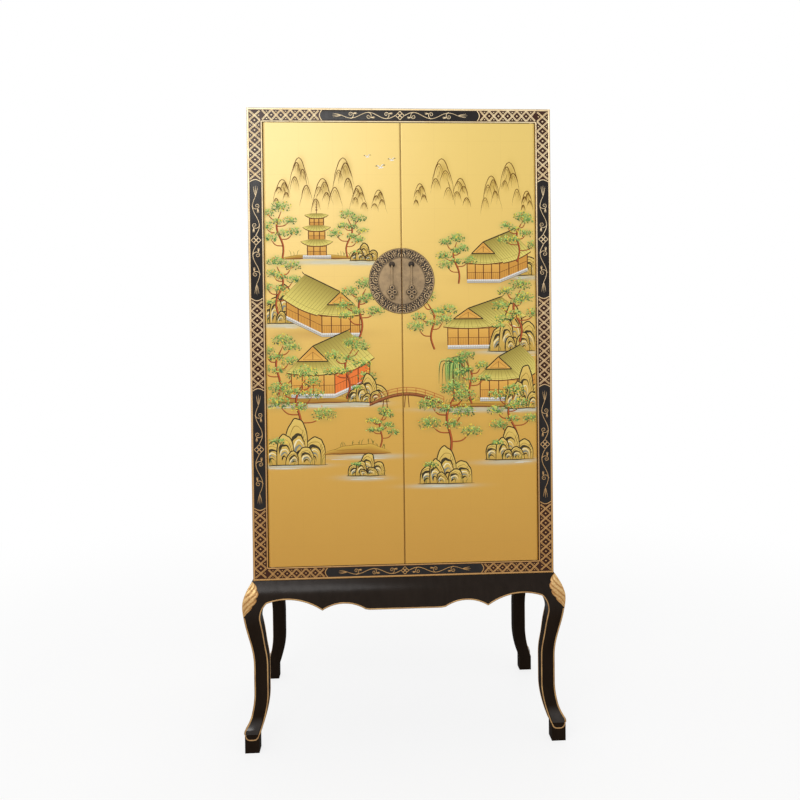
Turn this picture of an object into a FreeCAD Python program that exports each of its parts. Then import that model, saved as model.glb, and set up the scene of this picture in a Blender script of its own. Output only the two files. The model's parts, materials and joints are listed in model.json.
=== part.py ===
"""Two-door wardrobe on a cabriole stand.

The case is a board box with a tenoned front frame. Two flush doors hang in the frame on brass pivot pins,
each with half of a round lock plate and a hanging pull. The stand has four cabriole legs and bulging aprons.
Millimetres, +Z up, front towards -Y, origin on the floor under the middle of the case.
"""

import FreeCAD
import Part
import math
import os
from FreeCAD import Vector

# Case
CASE_WIDTH = 900.0
CASE_DEPTH = 500.0
CASE_HEIGHT = 1396.0
SIDE_THICKNESS = 18.0
TOP_THICKNESS = 18.0
BOTTOM_THICKNESS = 18.0
BACK_THICKNESS = 8.0
BACK_REBATE = 10.0

# Front frame
STILE_WIDTH = 44.0
TOP_RAIL_HEIGHT = 41.0
BOTTOM_RAIL_HEIGHT = 38.0
RAIL_TENON_LENGTH = 26.0
RAIL_TENON_THICKNESS = 8.0
RAIL_TENON_SHOULDER = 8.0

# Doors and their pivots
DOOR_THICKNESS = 22.0
DOOR_GAP = 2.0
SEAM_GAP = 3.0
STOP_CLEARANCE = 0.3
HINGE_EDGE_CLEARANCE = 0.5
STOP_WIDTH = 18.0
STOP_HEIGHT = 45.0
STOP_SETBACK = 17.0
PIN_RADIUS = 4.0
PIN_IN_DOOR = 30.0
PIN_IN_BUSH = 13.0
BUSH_WALL = 2.0
BUSH_LENGTH = 16.0
BUSH_FLANGE_RADIUS = 9.0
RUNNING_CLEARANCE = 0.05
FIT_CLEARANCE = 0.1
TENON_CLEARANCE = 0.15
BATTEN_HEIGHT = 50.0
BATTEN_DEPTH = 16.0
BATTEN_TONGUE = 5.0
BATTEN_TONGUE_HEIGHT = 26.0
BATTEN_INSET = 30.0
LOWER_BATTEN_ABOVE_DOOR_FOOT = 250.0
UPPER_BATTEN_BELOW_DOOR_HEAD = 150.0

# Magnetic catches
CATCH_LENGTH = 46.0
CATCH_HEIGHT = 14.0
CATCH_FROM_SEAM = 12.0
STRIKE_LENGTH = 34.0
STRIKE_HEIGHT = 11.0
STRIKE_THICKNESS = 1.2

# Lock plate and pulls
PLATE_RADIUS = 97.5
PLATE_THICKNESS = 2.0
PLATE_ABOVE_CASE_FOOT = 885.0
PLATE_RING_INNER_RADIUS = 69.0
PLATE_RING_RELIEF = 1.2
PLATE_SETBACK = 0.5
PULL_FROM_SEAM = 29.0
PULL_PIN_ABOVE_PLATE_CENTRE = 49.0
PULL_PIN_STANDOFF = 8.0
PULL_PIN_RADIUS = 2.0
POST_BASE_RADIUS = 9.0
POST_BASE_HEIGHT = 3.0
POST_SHANK_RADIUS = 3.0
POST_NUT_RADIUS = 6.5
POST_NUT_HEIGHT = 4.0
EAR_THICKNESS = 3.0
EAR_RADIUS = 4.5
KNUCKLE_RADIUS = 4.2
KNUCKLE_LENGTH = 7.6
KNUCKLE_SIDE_GAP = 0.3
STRAP_WIDTH = 7.0
STRAP_THICKNESS = 3.0
STRAP_LENGTH = 69.0
PENDANT_THICKNESS = 7.0
PENDANT_LOBE_RADIUS = 8.5
PENDANT_LOBE_OVERLAP = 1.5
PENDANT_DROP = 13.5

# Inside fittings
SHELF_THICKNESS = 18.0
SHELF_BELOW_CASE_HEAD = 266.0
SHELF_FRONT_SETBACK = 50.0
SHELF_SIDE_CLEARANCE = 0.5
CLEAT_WIDTH = 18.0
CLEAT_HEIGHT = 25.0
CLEAT_END_SETBACK = 12.0
CLEAT_SCREW_INSET = 60.0
HANGING_RAIL_RADIUS = 12.5
HANGING_RAIL_BELOW_SHELF = 67.0
HANGING_RAIL_BEHIND_MIDDLE = 5.0
SOCKET_FLANGE_RADIUS = 25.0
SOCKET_FLANGE_THICKNESS = 4.0
SOCKET_CUP_WALL = 3.5
SOCKET_CUP_DEPTH = 14.0
SOCKET_SCREW_RADIUS_FROM_AXIS = 20.5

# Stand
STAND_HEIGHT = 500.0
LEG_WIDTH = 42.0
LEG_TOP_REACH = 2.0
KNEE_DROP = 68.0
KNEE_REACH = 28.0
WAIST_TOP = 245.0
WAIST_BOTTOM = 165.0
WAIST_REACH = 1.0
FOOT_HEIGHT = 48.0
FOOT_REACH = 27.0
FOOT_FLARE_POWER = 1.85
ARCH_SPRING_DROP = 60.0
ARCH_TOP_DROP = 51.0
CUSP_DROP = 85.0
APRON_DROP = 87.0
LOBE_DROP = 66.0
LEG_FLARE_DROP = 108.0
LEG_SHOULDER = 6.0
LEG_SHOULDER_TOP_DROP = 125.0
LEG_SHOULDER_FOOT_DROP = 207.0
LEG_FLARE_BEND_IN = 0.3
LEG_FLARE_BEND_UP = 0.62
ARCH_SPAN = 162.0
SIDE_APRON_FLAT_HALF = 34.0
ARCH_TOP_FROM_LEG = 56.0
LOBE_SPAN = 127.0
OGEE_RUN = 12.0
APRON_BACK_INSET = 18.0
APRON_TENON_LENGTH = 18.0
APRON_TENON_THICKNESS = 10.0
APRON_TENON_INSET = 2.0
APRON_TENON_TOP_DROP = 14.0
APRON_TENON_HEIGHT = 32.0
BRACE_HEIGHT = 32.0
BRACE_WING = 92.0
BRACE_LEG_CLEARANCE = 0.3
BRACE_BOLT_RADIUS = 3.0
BRACE_BOLT_IN_LEG = 30.0
BRACE_BOLT_HEAD_RADIUS = 6.0
BRACE_BOLT_HEAD_HEIGHT = 4.0
BRACE_SCREW_OFFSET = 27.0
BRACE_SCREW_IN_CASE = 12.0
CURVE_SAMPLES = 7

# Wood screws
SCREW_RADIUS = 1.75
SCREW_HEAD_RADIUS = 3.5
SCREW_HEAD_HEIGHT = 2.0
SCREW_IN_BOARD = 12.0
SCREW_PILOT_EXTRA = 1.0
BACK_SCREW_COLUMN_COUNT = 5
BACK_SCREW_ROW_COUNT = 4
BACK_SCREW_END_INSET = 60.0

# Places that follow from the sizes above
HALF_WIDTH = CASE_WIDTH / 2
HALF_DEPTH = CASE_DEPTH / 2
FRONT_Y = -HALF_DEPTH
BACK_Y = HALF_DEPTH
CASE_FOOT_Z = STAND_HEIGHT
CASE_HEAD_Z = STAND_HEIGHT + CASE_HEIGHT
FRAME_THICKNESS = DOOR_THICKNESS + STOP_CLEARANCE
FRAME_BACK_Y = FRONT_Y + FRAME_THICKNESS
INNER_HALF_WIDTH = HALF_WIDTH - SIDE_THICKNESS
INNER_FOOT_Z = CASE_FOOT_Z + BOTTOM_THICKNESS
INNER_HEAD_Z = CASE_HEAD_Z - TOP_THICKNESS
INNER_BACK_Y = BACK_Y - BACK_THICKNESS
OPENING_HALF = HALF_WIDTH - STILE_WIDTH
OPENING_FOOT_Z = CASE_FOOT_Z + BOTTOM_RAIL_HEIGHT
OPENING_HEAD_Z = CASE_HEAD_Z - TOP_RAIL_HEIGHT
DOOR_BACK_Y = FRONT_Y + DOOR_THICKNESS
DOOR_FOOT_Z = OPENING_FOOT_Z + DOOR_GAP
DOOR_HEAD_Z = OPENING_HEAD_Z - DOOR_GAP
DOOR_HINGE_X = -OPENING_HALF + DOOR_GAP
DOOR_SEAM_X = -SEAM_GAP / 2
PIVOT_X = DOOR_HINGE_X + DOOR_THICKNESS / 2
PIVOT_Y = FRONT_Y + DOOR_THICKNESS / 2
HINGE_EDGE_RADIUS = DOOR_THICKNESS / 2 + DOOR_GAP - HINGE_EDGE_CLEARANCE
BUSH_FLANGE_THICKNESS = DOOR_GAP - STOP_CLEARANCE
STOP_HALF_LENGTH = -PIVOT_X - STOP_SETBACK
PLATE_FRONT_Y = FRONT_Y - PLATE_THICKNESS
PLATE_CENTRE_Z = CASE_FOOT_Z + PLATE_ABOVE_CASE_FOOT
PULL_PIN_Y = PLATE_FRONT_Y - PULL_PIN_STANDOFF
PULL_PIN_Z = PLATE_CENTRE_Z + PULL_PIN_ABOVE_PLATE_CENTRE
PENDANT_SPREAD = PENDANT_LOBE_RADIUS - PENDANT_LOBE_OVERLAP / 2
SHELF_TOP_Z = CASE_HEAD_Z - SHELF_BELOW_CASE_HEAD
SHELF_FOOT_Z = SHELF_TOP_Z - SHELF_THICKNESS
SHELF_FRONT_Y = FRONT_Y + SHELF_FRONT_SETBACK
HANGING_RAIL_Z = SHELF_FOOT_Z - HANGING_RAIL_BELOW_SHELF
LEG_POST_X = HALF_WIDTH - LEG_WIDTH
LEG_POST_Y = HALF_DEPTH - LEG_WIDTH


# Helpers


def block(low, high):
    """A box between two opposite corners."""
    size = [b - a for a, b in zip(low, high)]
    return Part.makeBox(*size, Vector(*low))


def rod(radius, start, end):
    """A cylinder from one point to another."""
    start, end = Vector(*start), Vector(*end)
    return Part.makeCylinder(radius, (end - start).Length, start, end - start)


def cut_all(shape, tools):
    """The shape with every tool taken out of it."""
    return shape.cut(Part.makeCompound(tools)) if tools else shape


def fuse_all(shapes):
    """Several overlapping shapes as one solid without seams."""
    return shapes[0].fuse(shapes[1:]).removeSplitter()


def across(shape):
    """The same shape on the other side of the case."""
    return shape.mirror(Vector(), Vector(1, 0, 0))


def front_to_back(shape):
    """The same shape at the back of the stand."""
    return shape.mirror(Vector(), Vector(0, 1, 0))


def line(start, end):
    return Part.LineSegment(start, end).toShape()


def arc(start, middle, end):
    return Part.Arc(start, middle, end).toShape()


def smooth_curve(points):
    curve = Part.BSplineCurve()
    curve.interpolate(points)
    return curve.toShape()


def prism(edges, direction):
    """A closed outline carried straight along a vector."""
    return Part.Face(Part.Wire(Part.__sortEdges__(edges))).extrude(direction)


def screw(seat, way, length):
    """A wood screw with its head on the seat and its shank along the way given."""
    seat, way = Vector(*seat), Vector(*way)
    head = rod(SCREW_HEAD_RADIUS, seat - way * SCREW_HEAD_HEIGHT, seat)
    return fuse_all([rod(SCREW_RADIUS, seat, seat + way * length), head])


def pilot(seat, way, length):
    """The hole that a screw's shank sits in."""
    seat, way = Vector(*seat), Vector(*way)
    return rod(SCREW_RADIUS + FIT_CLEARANCE, seat, seat + way * (length + SCREW_PILOT_EXTRA))


def spread(low, high, count):
    """Evenly spaced places from low to high."""
    return [low + (high - low) * i / (count - 1) for i in range(count)]


# Stand


def leg_reach(z):
    """How far a leg's outer face stands out from the case at a height above the floor.

    A quarter sine swells from the stand's top to the knee, a half cosine falls to the straight waist,
    and a power curve flares to the top of the upright foot.
    """
    knee_z = STAND_HEIGHT - KNEE_DROP
    if z >= knee_z:
        share = (STAND_HEIGHT - z) / KNEE_DROP
        return LEG_TOP_REACH + (KNEE_REACH - LEG_TOP_REACH) * math.sin(share * math.pi / 2)
    if z >= WAIST_TOP:
        share = (knee_z - z) / (knee_z - WAIST_TOP)
        return KNEE_REACH + (WAIST_REACH - KNEE_REACH) * (1 - math.cos(share * math.pi)) / 2
    if z >= WAIST_BOTTOM:
        return WAIST_REACH
    share = min(1.0, (WAIST_BOTTOM - z) / (WAIST_BOTTOM - FOOT_HEIGHT))
    return WAIST_REACH + (FOOT_REACH - WAIST_REACH) * share**FOOT_FLARE_POWER


def leg_heights(low, high):
    """Heights along the leg's curve between two heights, with the ends of each stretch among them."""
    knee_z = STAND_HEIGHT - KNEE_DROP
    marks = [FOOT_HEIGHT, WAIST_BOTTOM, WAIST_TOP, knee_z, STAND_HEIGHT]
    marks = [low] + [m for m in marks if low < m < high] + [high]
    heights = [low]
    for a, b in zip(marks, marks[1:]):
        heights += spread(a, b, CURVE_SAMPLES)[1:]
    return heights


def leg_width(z):
    """Width of a leg's sawn face: the shank's, and more at the shoulder under the knee."""
    run = LEG_SHOULDER_FOOT_DROP - LEG_SHOULDER_TOP_DROP
    share = min(1, max(0, (z - STAND_HEIGHT + LEG_SHOULDER_FOOT_DROP) / run))
    return LEG_WIDTH + LEG_SHOULDER * (1 - math.cos(share * math.pi)) / 2


def leg_outline(place):
    """The leg's sawn outline seen from one side, as edges; place turns (reach, height) into a point."""
    flare_z = STAND_HEIGHT - LEG_FLARE_DROP
    spring_z = STAND_HEIGHT - ARCH_SPRING_DROP
    outer = [place(leg_reach(z), z) for z in leg_heights(FOOT_HEIGHT, STAND_HEIGHT)]
    inner = [place(leg_reach(z) - leg_width(z), z) for z in leg_heights(FOOT_HEIGHT, flare_z)]
    flare_reach = leg_reach(flare_z) - leg_width(flare_z)
    bend_reach = flare_reach - LEG_FLARE_BEND_IN * (flare_reach + LEG_WIDTH)
    bend = place(bend_reach, flare_z + LEG_FLARE_BEND_UP * (spring_z - flare_z))
    post_foot = place(-LEG_WIDTH, spring_z)
    post_head = place(-LEG_WIDTH, STAND_HEIGHT)
    toe = place(FOOT_REACH, 0)
    heel = place(FOOT_REACH - LEG_WIDTH, 0)
    return [
        smooth_curve(outer),
        line(outer[0], toe),
        line(toe, heel),
        line(heel, inner[0]),
        smooth_curve(inner),
        arc(inner[-1], bend, post_foot),
        line(post_foot, post_head),
        line(post_head, outer[-1]),
    ]


def cabriole_leg():
    """The front left leg: one outline sawn through a square blank from the front and from the side."""
    reach = max(KNEE_REACH, FOOT_REACH) + LEG_WIDTH
    sawn_from_front = prism(
        leg_outline(lambda u, z: Vector(-HALF_WIDTH - u, -HALF_DEPTH - reach, z)), Vector(0, 2 * reach, 0)
    )
    sawn_from_side = prism(
        leg_outline(lambda u, z: Vector(-HALF_WIDTH - reach, -HALF_DEPTH - u, z)), Vector(2 * reach, 0, 0)
    )
    leg = sawn_from_front.common(sawn_from_side)
    mortises = [apron_tenon(LEG_POST_X, HALF_DEPTH, TENON_CLEARANCE)]
    side_mortise = apron_tenon(LEG_POST_Y, HALF_WIDTH, TENON_CLEARANCE)
    mortises.append(turned_to_side(side_mortise))
    return cut_all(leg, mortises + [brace_bolt_hole()]).Solids[0]


def apron_tenon(half_length, half_across, clearance=0.0):
    """The tenon at the -X end of an apron that runs along X at the front."""
    head_z = STAND_HEIGHT - APRON_TENON_TOP_DROP
    foot_z = head_z - APRON_TENON_HEIGHT
    low_y = -half_across + APRON_TENON_INSET
    return block(
        (-half_length - APRON_TENON_LENGTH - clearance, low_y - clearance, foot_z - clearance),
        (-half_length, low_y + APRON_TENON_THICKNESS + clearance, head_z + clearance),
    )


def turned_to_side(shape):
    """A shape made for the front, turned a quarter so that it lies on the left side."""
    turned = shape.copy()
    turned.rotate(Vector(), Vector(0, 0, 1), -90)
    return turned.mirror(Vector(), Vector(0, 1, 0))


def scallop(half_length, arch_span, lobes):
    """The apron's lower edge in the plane y = 0, from the right end to the left end."""
    top = STAND_HEIGHT
    spring = (half_length, top - ARCH_SPRING_DROP)
    arch = (half_length - ARCH_TOP_FROM_LEG, top - ARCH_TOP_DROP)
    cusp = (half_length - arch_span, top - CUSP_DROP)
    lobe_end_x = cusp[0] - LOBE_SPAN if lobes else cusp[0]
    lobe = ((cusp[0] + lobe_end_x) / 2, top - LOBE_DROP)
    flat_x = lobe_end_x - OGEE_RUN
    points = {
        side: [Vector(side * x, 0, z) for x, z in (spring, arch, cusp, lobe, (lobe_end_x, cusp[1]))]
        + [Vector(side * flat_x, 0, top - APRON_DROP)]
        for side in (1, -1)
    }
    edges = [line(points[1][-1], points[-1][-1])]
    for side in points.values():
        edges.append(arc(side[0], side[1], side[2]))
        if lobes:
            edges.append(arc(side[2], side[3], side[4]))
        edges.append(line(side[4], side[5]))
    return edges, points[1][0], points[-1][0]


def apron(half_length, half_across, arch_span, lobes):
    """An apron along X at the front: its face bulges as the legs do, and its lower edge is scalloped."""
    foot_z = STAND_HEIGHT - APRON_DROP
    heights = leg_heights(foot_z, STAND_HEIGHT)
    face = [Vector(-half_length, -half_across - leg_reach(z), z) for z in heights]
    back_y = -half_across + APRON_BACK_INSET
    back_foot = Vector(-half_length, back_y, foot_z)
    back_head = Vector(-half_length, back_y, STAND_HEIGHT)
    section = [
        smooth_curve(face),
        line(face[-1], back_head),
        line(back_head, back_foot),
        line(back_foot, face[0]),
    ]
    bulging = prism(section, Vector(2 * half_length, 0, 0))
    edges, right_end, left_end = scallop(half_length, arch_span, lobes)
    right_head = Vector(half_length, 0, STAND_HEIGHT)
    left_head = Vector(-half_length, 0, STAND_HEIGHT)
    edges += [line(right_end, right_head), line(right_head, left_head), line(left_head, left_end)]
    outline = prism(edges, Vector(0, -half_across - KNEE_REACH, 0))
    tenon = apron_tenon(half_length, half_across)
    return fuse_all([bulging.common(outline), tenon, across(tenon)]).Solids[0]


def brace_outline():
    """Plan corners of the front left corner brace: two wings on the aprons, notched round the leg's post."""
    inner_x = -HALF_WIDTH + APRON_BACK_INSET
    inner_y = -HALF_DEPTH + APRON_BACK_INSET
    notch_x = -LEG_POST_X + BRACE_LEG_CLEARANCE
    notch_y = -LEG_POST_Y + BRACE_LEG_CLEARANCE
    return [
        (inner_x + BRACE_WING, inner_y),
        (notch_x, inner_y),
        (notch_x, notch_y),
        (inner_x, notch_y),
        (inner_x, inner_y + BRACE_WING),
    ]


def brace_bolt_line():
    """The bolt's head seat on the brace's long face, and the direction into the leg."""
    corners = brace_outline()
    middle_x = (corners[0][0] + corners[-1][0]) / 2
    middle_y = (corners[0][1] + corners[-1][1]) / 2
    way = Vector(-1, -1, 0).normalize()
    return Vector(middle_x, middle_y, STAND_HEIGHT - BRACE_HEIGHT / 2), way


def brace_bolt_length():
    seat, _ = brace_bolt_line()
    corner = Vector(-LEG_POST_X, -LEG_POST_Y, seat.z)
    return (corner - seat).Length + BRACE_BOLT_IN_LEG


def brace_bolt_hole():
    seat, way = brace_bolt_line()
    end = seat + way * (brace_bolt_length() + SCREW_PILOT_EXTRA)
    return rod(BRACE_BOLT_RADIUS + FIT_CLEARANCE, seat, end)


def brace_bolt():
    seat, way = brace_bolt_line()
    head = rod(BRACE_BOLT_HEAD_RADIUS, seat - way * BRACE_BOLT_HEAD_HEIGHT, seat)
    return fuse_all([rod(BRACE_BOLT_RADIUS, seat, seat + way * brace_bolt_length()), head])


def brace_screw_seats():
    """Undersides of the front left brace where two screws go up into the case."""
    seat, way = brace_bolt_line()
    along = Vector(-way.y, way.x, 0)
    depth = way * (BRACE_SCREW_OFFSET / 2)
    foot = Vector(0, 0, STAND_HEIGHT - BRACE_HEIGHT - seat.z)
    return [seat + depth + along * side * BRACE_SCREW_OFFSET + foot for side in (1, -1)]


def corner_brace():
    corners = [Vector(x, y, STAND_HEIGHT - BRACE_HEIGHT) for x, y in brace_outline()]
    edges = [line(a, b) for a, b in zip(corners, corners[1:] + corners[:1])]
    holes = [brace_bolt_hole()] + [pilot(s, (0, 0, 1), BRACE_HEIGHT) for s in brace_screw_seats()]
    return cut_all(prism(edges, Vector(0, 0, BRACE_HEIGHT)), holes).Solids[0]


def at_four_corners(shape):
    """A front left shape and its three mirror images, by the name of the corner."""
    back = front_to_back(shape)
    return {"front_left": shape, "front_right": across(shape), "back_left": back, "back_right": across(back)}


def make_stand():
    parts = {}
    for corner, leg in at_four_corners(cabriole_leg()).items():
        parts["leg_" + corner] = leg
    for corner, brace in at_four_corners(corner_brace()).items():
        parts["corner_brace_" + corner] = brace
    front = apron(LEG_POST_X, HALF_DEPTH, ARCH_SPAN, lobes=True)
    side_arch_span = LEG_POST_Y - SIDE_APRON_FLAT_HALF - OGEE_RUN
    left = turned_to_side(apron(LEG_POST_Y, HALF_WIDTH, side_arch_span, lobes=False))
    parts["front_apron"] = front
    parts["back_apron"] = front_to_back(front)
    parts["left_apron"] = left
    parts["right_apron"] = across(left)
    parts["brace_bolts"] = Part.makeCompound(list(at_four_corners(brace_bolt()).values()))
    screws = []
    for seat in brace_screw_seats():
        screws += at_four_corners(screw(seat, (0, 0, 1), BRACE_HEIGHT + BRACE_SCREW_IN_CASE)).values()
    parts["case_to_stand_screws"] = Part.makeCompound(screws)
    return parts


# Case


def rail_tenon(foot_z, height, clearance=0.0):
    """The tenon at the left end of a front rail."""
    middle_y = FRONT_Y + FRAME_THICKNESS / 2
    half = RAIL_TENON_THICKNESS / 2 + clearance
    low_z = foot_z + RAIL_TENON_SHOULDER
    high_z = foot_z + height - RAIL_TENON_SHOULDER
    return block(
        (-OPENING_HALF - RAIL_TENON_LENGTH - clearance, middle_y - half, low_z - clearance),
        (-OPENING_HALF, middle_y + half, high_z + clearance),
    )


def front_stile():
    stile = block((-HALF_WIDTH, FRONT_Y, CASE_FOOT_Z), (-OPENING_HALF, FRAME_BACK_Y, CASE_HEAD_Z))
    mortises = [
        rail_tenon(OPENING_HEAD_Z, TOP_RAIL_HEIGHT, TENON_CLEARANCE),
        rail_tenon(CASE_FOOT_Z, BOTTOM_RAIL_HEIGHT, TENON_CLEARANCE),
    ]
    return cut_all(stile, mortises).Solids[0]


def front_rail(foot_z, height, bush_face_z, bush_way):
    """A front rail between the stiles, bored for the two pivot bushes."""
    bar = block((-OPENING_HALF, FRONT_Y, foot_z), (OPENING_HALF, FRAME_BACK_Y, foot_z + height))
    tenon = rail_tenon(foot_z, height)
    rail = fuse_all([bar, tenon, across(tenon)])
    bore_radius = PIN_RADIUS + RUNNING_CLEARANCE + BUSH_WALL + FIT_CLEARANCE
    end_z = bush_face_z + bush_way * (BUSH_LENGTH + FIT_CLEARANCE)
    bore = pivot_rod(bore_radius, *sorted((bush_face_z, end_z)))
    return cut_all(rail, [bore, across(bore)]).Solids[0]


def pivot_bush(face_z, way):
    """A flanged brass bush in a rail; way is +1 where it goes up into the rail."""
    bore_radius = PIN_RADIUS + RUNNING_CLEARANCE
    end_z = face_z + way * BUSH_LENGTH
    flange_z = face_z - way * BUSH_FLANGE_THICKNESS
    sleeve = pivot_rod(bore_radius + BUSH_WALL, *sorted((face_z, end_z)))
    flange = pivot_rod(BUSH_FLANGE_RADIUS, *sorted((flange_z, face_z)))
    hole = pivot_rod(bore_radius, *sorted((flange_z, end_z)))
    return fuse_all([sleeve, flange]).cut(hole).Solids[0]


def back_screw_seats():
    """Where the back panel's screws sit: columns at the two sides, rows at the head and foot."""
    half_rebate = BACK_REBATE / 2
    column_x = INNER_HALF_WIDTH + half_rebate
    foot_z, head_z = INNER_FOOT_Z + BACK_SCREW_END_INSET, INNER_HEAD_Z - BACK_SCREW_END_INSET
    row_x = INNER_HALF_WIDTH - BACK_SCREW_END_INSET
    column_heights = spread(foot_z, head_z, BACK_SCREW_COLUMN_COUNT)
    seats = [(side * column_x, BACK_Y, z) for z in column_heights for side in (-1, 1)]
    rows = (INNER_FOOT_Z - half_rebate, INNER_HEAD_Z + half_rebate)
    return seats + [(x, BACK_Y, z) for x in spread(-row_x, row_x, BACK_SCREW_ROW_COUNT) for z in rows]


def back_screw_length():
    return BACK_THICKNESS + SCREW_IN_BOARD


def back_pilots():
    return [pilot(seat, (0, -1, 0), back_screw_length()) for seat in back_screw_seats()]


def back_recess():
    """The space that the back panel fills in the rebates of the four boards."""
    return block(
        (-INNER_HALF_WIDTH - BACK_REBATE, INNER_BACK_Y, INNER_FOOT_Z - BACK_REBATE),
        (INNER_HALF_WIDTH + BACK_REBATE, BACK_Y, INNER_HEAD_Z + BACK_REBATE),
    )


def cleat_screw_seats():
    """Where the left cleat's screws sit, on the cleat's inner face."""
    front, back = cleat_ends()
    z = SHELF_FOOT_Z - CLEAT_HEIGHT / 2
    x = -INNER_HALF_WIDTH + CLEAT_WIDTH
    return [(x, y, z) for y in spread(front + CLEAT_SCREW_INSET, back - CLEAT_SCREW_INSET, 3)]


def cleat_ends():
    return SHELF_FRONT_Y + CLEAT_END_SETBACK, INNER_BACK_Y - CLEAT_END_SETBACK


def socket_screw_seats():
    """Where the left rail socket's screws sit, above and below the rail."""
    x = -INNER_HALF_WIDTH + SOCKET_FLANGE_THICKNESS
    offsets = (SOCKET_SCREW_RADIUS_FROM_AXIS, -SOCKET_SCREW_RADIUS_FROM_AXIS)
    return [(x, HANGING_RAIL_BEHIND_MIDDLE, HANGING_RAIL_Z + offset) for offset in offsets]


def side_board():
    """The left side, rebated for the back panel and drilled for the inside fittings."""
    board = block((-HALF_WIDTH, FRAME_BACK_Y, INNER_FOOT_Z), (-INNER_HALF_WIDTH, BACK_Y, INNER_HEAD_Z))
    holes = [pilot(s, (-1, 0, 0), CLEAT_WIDTH + SCREW_IN_BOARD) for s in cleat_screw_seats()]
    holes += [pilot(s, (-1, 0, 0), SOCKET_FLANGE_THICKNESS + SCREW_IN_BOARD) for s in socket_screw_seats()]
    return cut_all(board, [back_recess()] + back_pilots() + holes).Solids[0]


def case_floor():
    board = block((-HALF_WIDTH, FRAME_BACK_Y, CASE_FOOT_Z), (HALF_WIDTH, BACK_Y, INNER_FOOT_Z))
    holes = []
    for seat in brace_screw_seats():
        holes += at_four_corners(pilot(seat, (0, 0, 1), BRACE_HEIGHT + BRACE_SCREW_IN_CASE)).values()
    return cut_all(board, [back_recess()] + back_pilots() + holes).Solids[0]


def case_head():
    board = block((-HALF_WIDTH, FRAME_BACK_Y, INNER_HEAD_Z), (HALF_WIDTH, BACK_Y, CASE_HEAD_Z))
    return cut_all(board, [back_recess()] + back_pilots()).Solids[0]


def door_stop(foot_z):
    return block(
        (-STOP_HALF_LENGTH, FRAME_BACK_Y, foot_z),
        (STOP_HALF_LENGTH, FRAME_BACK_Y + STOP_WIDTH, foot_z + STOP_HEIGHT),
    )


def magnetic_catch():
    """The left catch, under the head stop, facing the strike plate on the door's back."""
    head_z = INNER_HEAD_Z - STOP_HEIGHT
    front_y = DOOR_BACK_Y + STRIKE_THICKNESS + STOP_CLEARANCE
    return block(
        (-CATCH_FROM_SEAM - CATCH_LENGTH, front_y, head_z - CATCH_HEIGHT),
        (-CATCH_FROM_SEAM, FRAME_BACK_Y + STOP_WIDTH, head_z),
    )


def shelf_cleat():
    front, back = cleat_ends()
    bar = block(
        (-INNER_HALF_WIDTH, front, SHELF_FOOT_Z - CLEAT_HEIGHT),
        (-INNER_HALF_WIDTH + CLEAT_WIDTH, back, SHELF_FOOT_Z),
    )
    return cut_all(bar, [pilot(s, (-1, 0, 0), CLEAT_WIDTH) for s in cleat_screw_seats()]).Solids[0]


def shelf():
    half = INNER_HALF_WIDTH - SHELF_SIDE_CLEARANCE
    back_y = INNER_BACK_Y - SHELF_SIDE_CLEARANCE
    return block((-half, SHELF_FRONT_Y, SHELF_FOOT_Z), (half, back_y, SHELF_TOP_Z))


def rail_axis(x):
    return (x, HANGING_RAIL_BEHIND_MIDDLE, HANGING_RAIL_Z)


def rail_socket():
    """The left cup that carries the hanging rail's end."""
    wall_x = -INNER_HALF_WIDTH
    floor_x = wall_x + SOCKET_FLANGE_THICKNESS
    mouth_x = floor_x + SOCKET_CUP_DEPTH
    flange = rod(SOCKET_FLANGE_RADIUS, rail_axis(wall_x), rail_axis(floor_x))
    bore_radius = HANGING_RAIL_RADIUS + FIT_CLEARANCE
    cup = rod(bore_radius + SOCKET_CUP_WALL, rail_axis(wall_x), rail_axis(mouth_x))
    bore = rod(bore_radius, rail_axis(floor_x), rail_axis(mouth_x + FIT_CLEARANCE))
    holes = [pilot(s, (-1, 0, 0), SOCKET_FLANGE_THICKNESS) for s in socket_screw_seats()]
    return cut_all(fuse_all([flange, cup]), [bore] + holes).Solids[0]


def hanging_rail():
    end = INNER_HALF_WIDTH - SOCKET_FLANGE_THICKNESS - STOP_CLEARANCE
    return rod(HANGING_RAIL_RADIUS, rail_axis(-end), rail_axis(end))


def make_case():
    parts = {"left_stile": front_stile(), "left_side_panel": side_board()}
    parts["left_shelf_cleat"] = shelf_cleat()
    parts["left_rail_socket"] = rail_socket()
    parts["left_door_catch"] = magnetic_catch()
    for name in list(parts):
        parts[name.replace("left", "right")] = across(parts[name])
    parts["top_rail"] = front_rail(OPENING_HEAD_Z, TOP_RAIL_HEIGHT, OPENING_HEAD_Z, 1)
    parts["bottom_rail"] = front_rail(CASE_FOOT_Z, BOTTOM_RAIL_HEIGHT, OPENING_FOOT_Z, -1)
    parts["case_floor_panel"] = case_floor()
    parts["case_top_panel"] = case_head()
    parts["back_panel"] = cut_all(back_recess(), back_pilots()).Solids[0]
    parts["head_door_stop"] = door_stop(INNER_HEAD_Z - STOP_HEIGHT)
    parts["foot_door_stop"] = door_stop(INNER_FOOT_Z)
    parts["hat_shelf"] = shelf()
    parts["hanging_rail"] = hanging_rail()
    for name, face_z, way in (("upper", OPENING_HEAD_Z, 1), ("lower", OPENING_FOOT_Z, -1)):
        bush = pivot_bush(face_z, way)
        parts[name + "_pivot_bushes"] = Part.makeCompound([bush, across(bush)])
    back_screws = [screw(s, (0, -1, 0), back_screw_length()) for s in back_screw_seats()]
    parts["back_panel_screws"] = Part.makeCompound(back_screws)
    fittings = [screw(s, (-1, 0, 0), CLEAT_WIDTH + SCREW_IN_BOARD) for s in cleat_screw_seats()]
    fittings += [screw(s, (-1, 0, 0), SOCKET_FLANGE_THICKNESS + SCREW_IN_BOARD) for s in socket_screw_seats()]
    parts["inside_fitting_screws"] = Part.makeCompound(fittings + [across(s) for s in fittings])
    return parts


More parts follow.
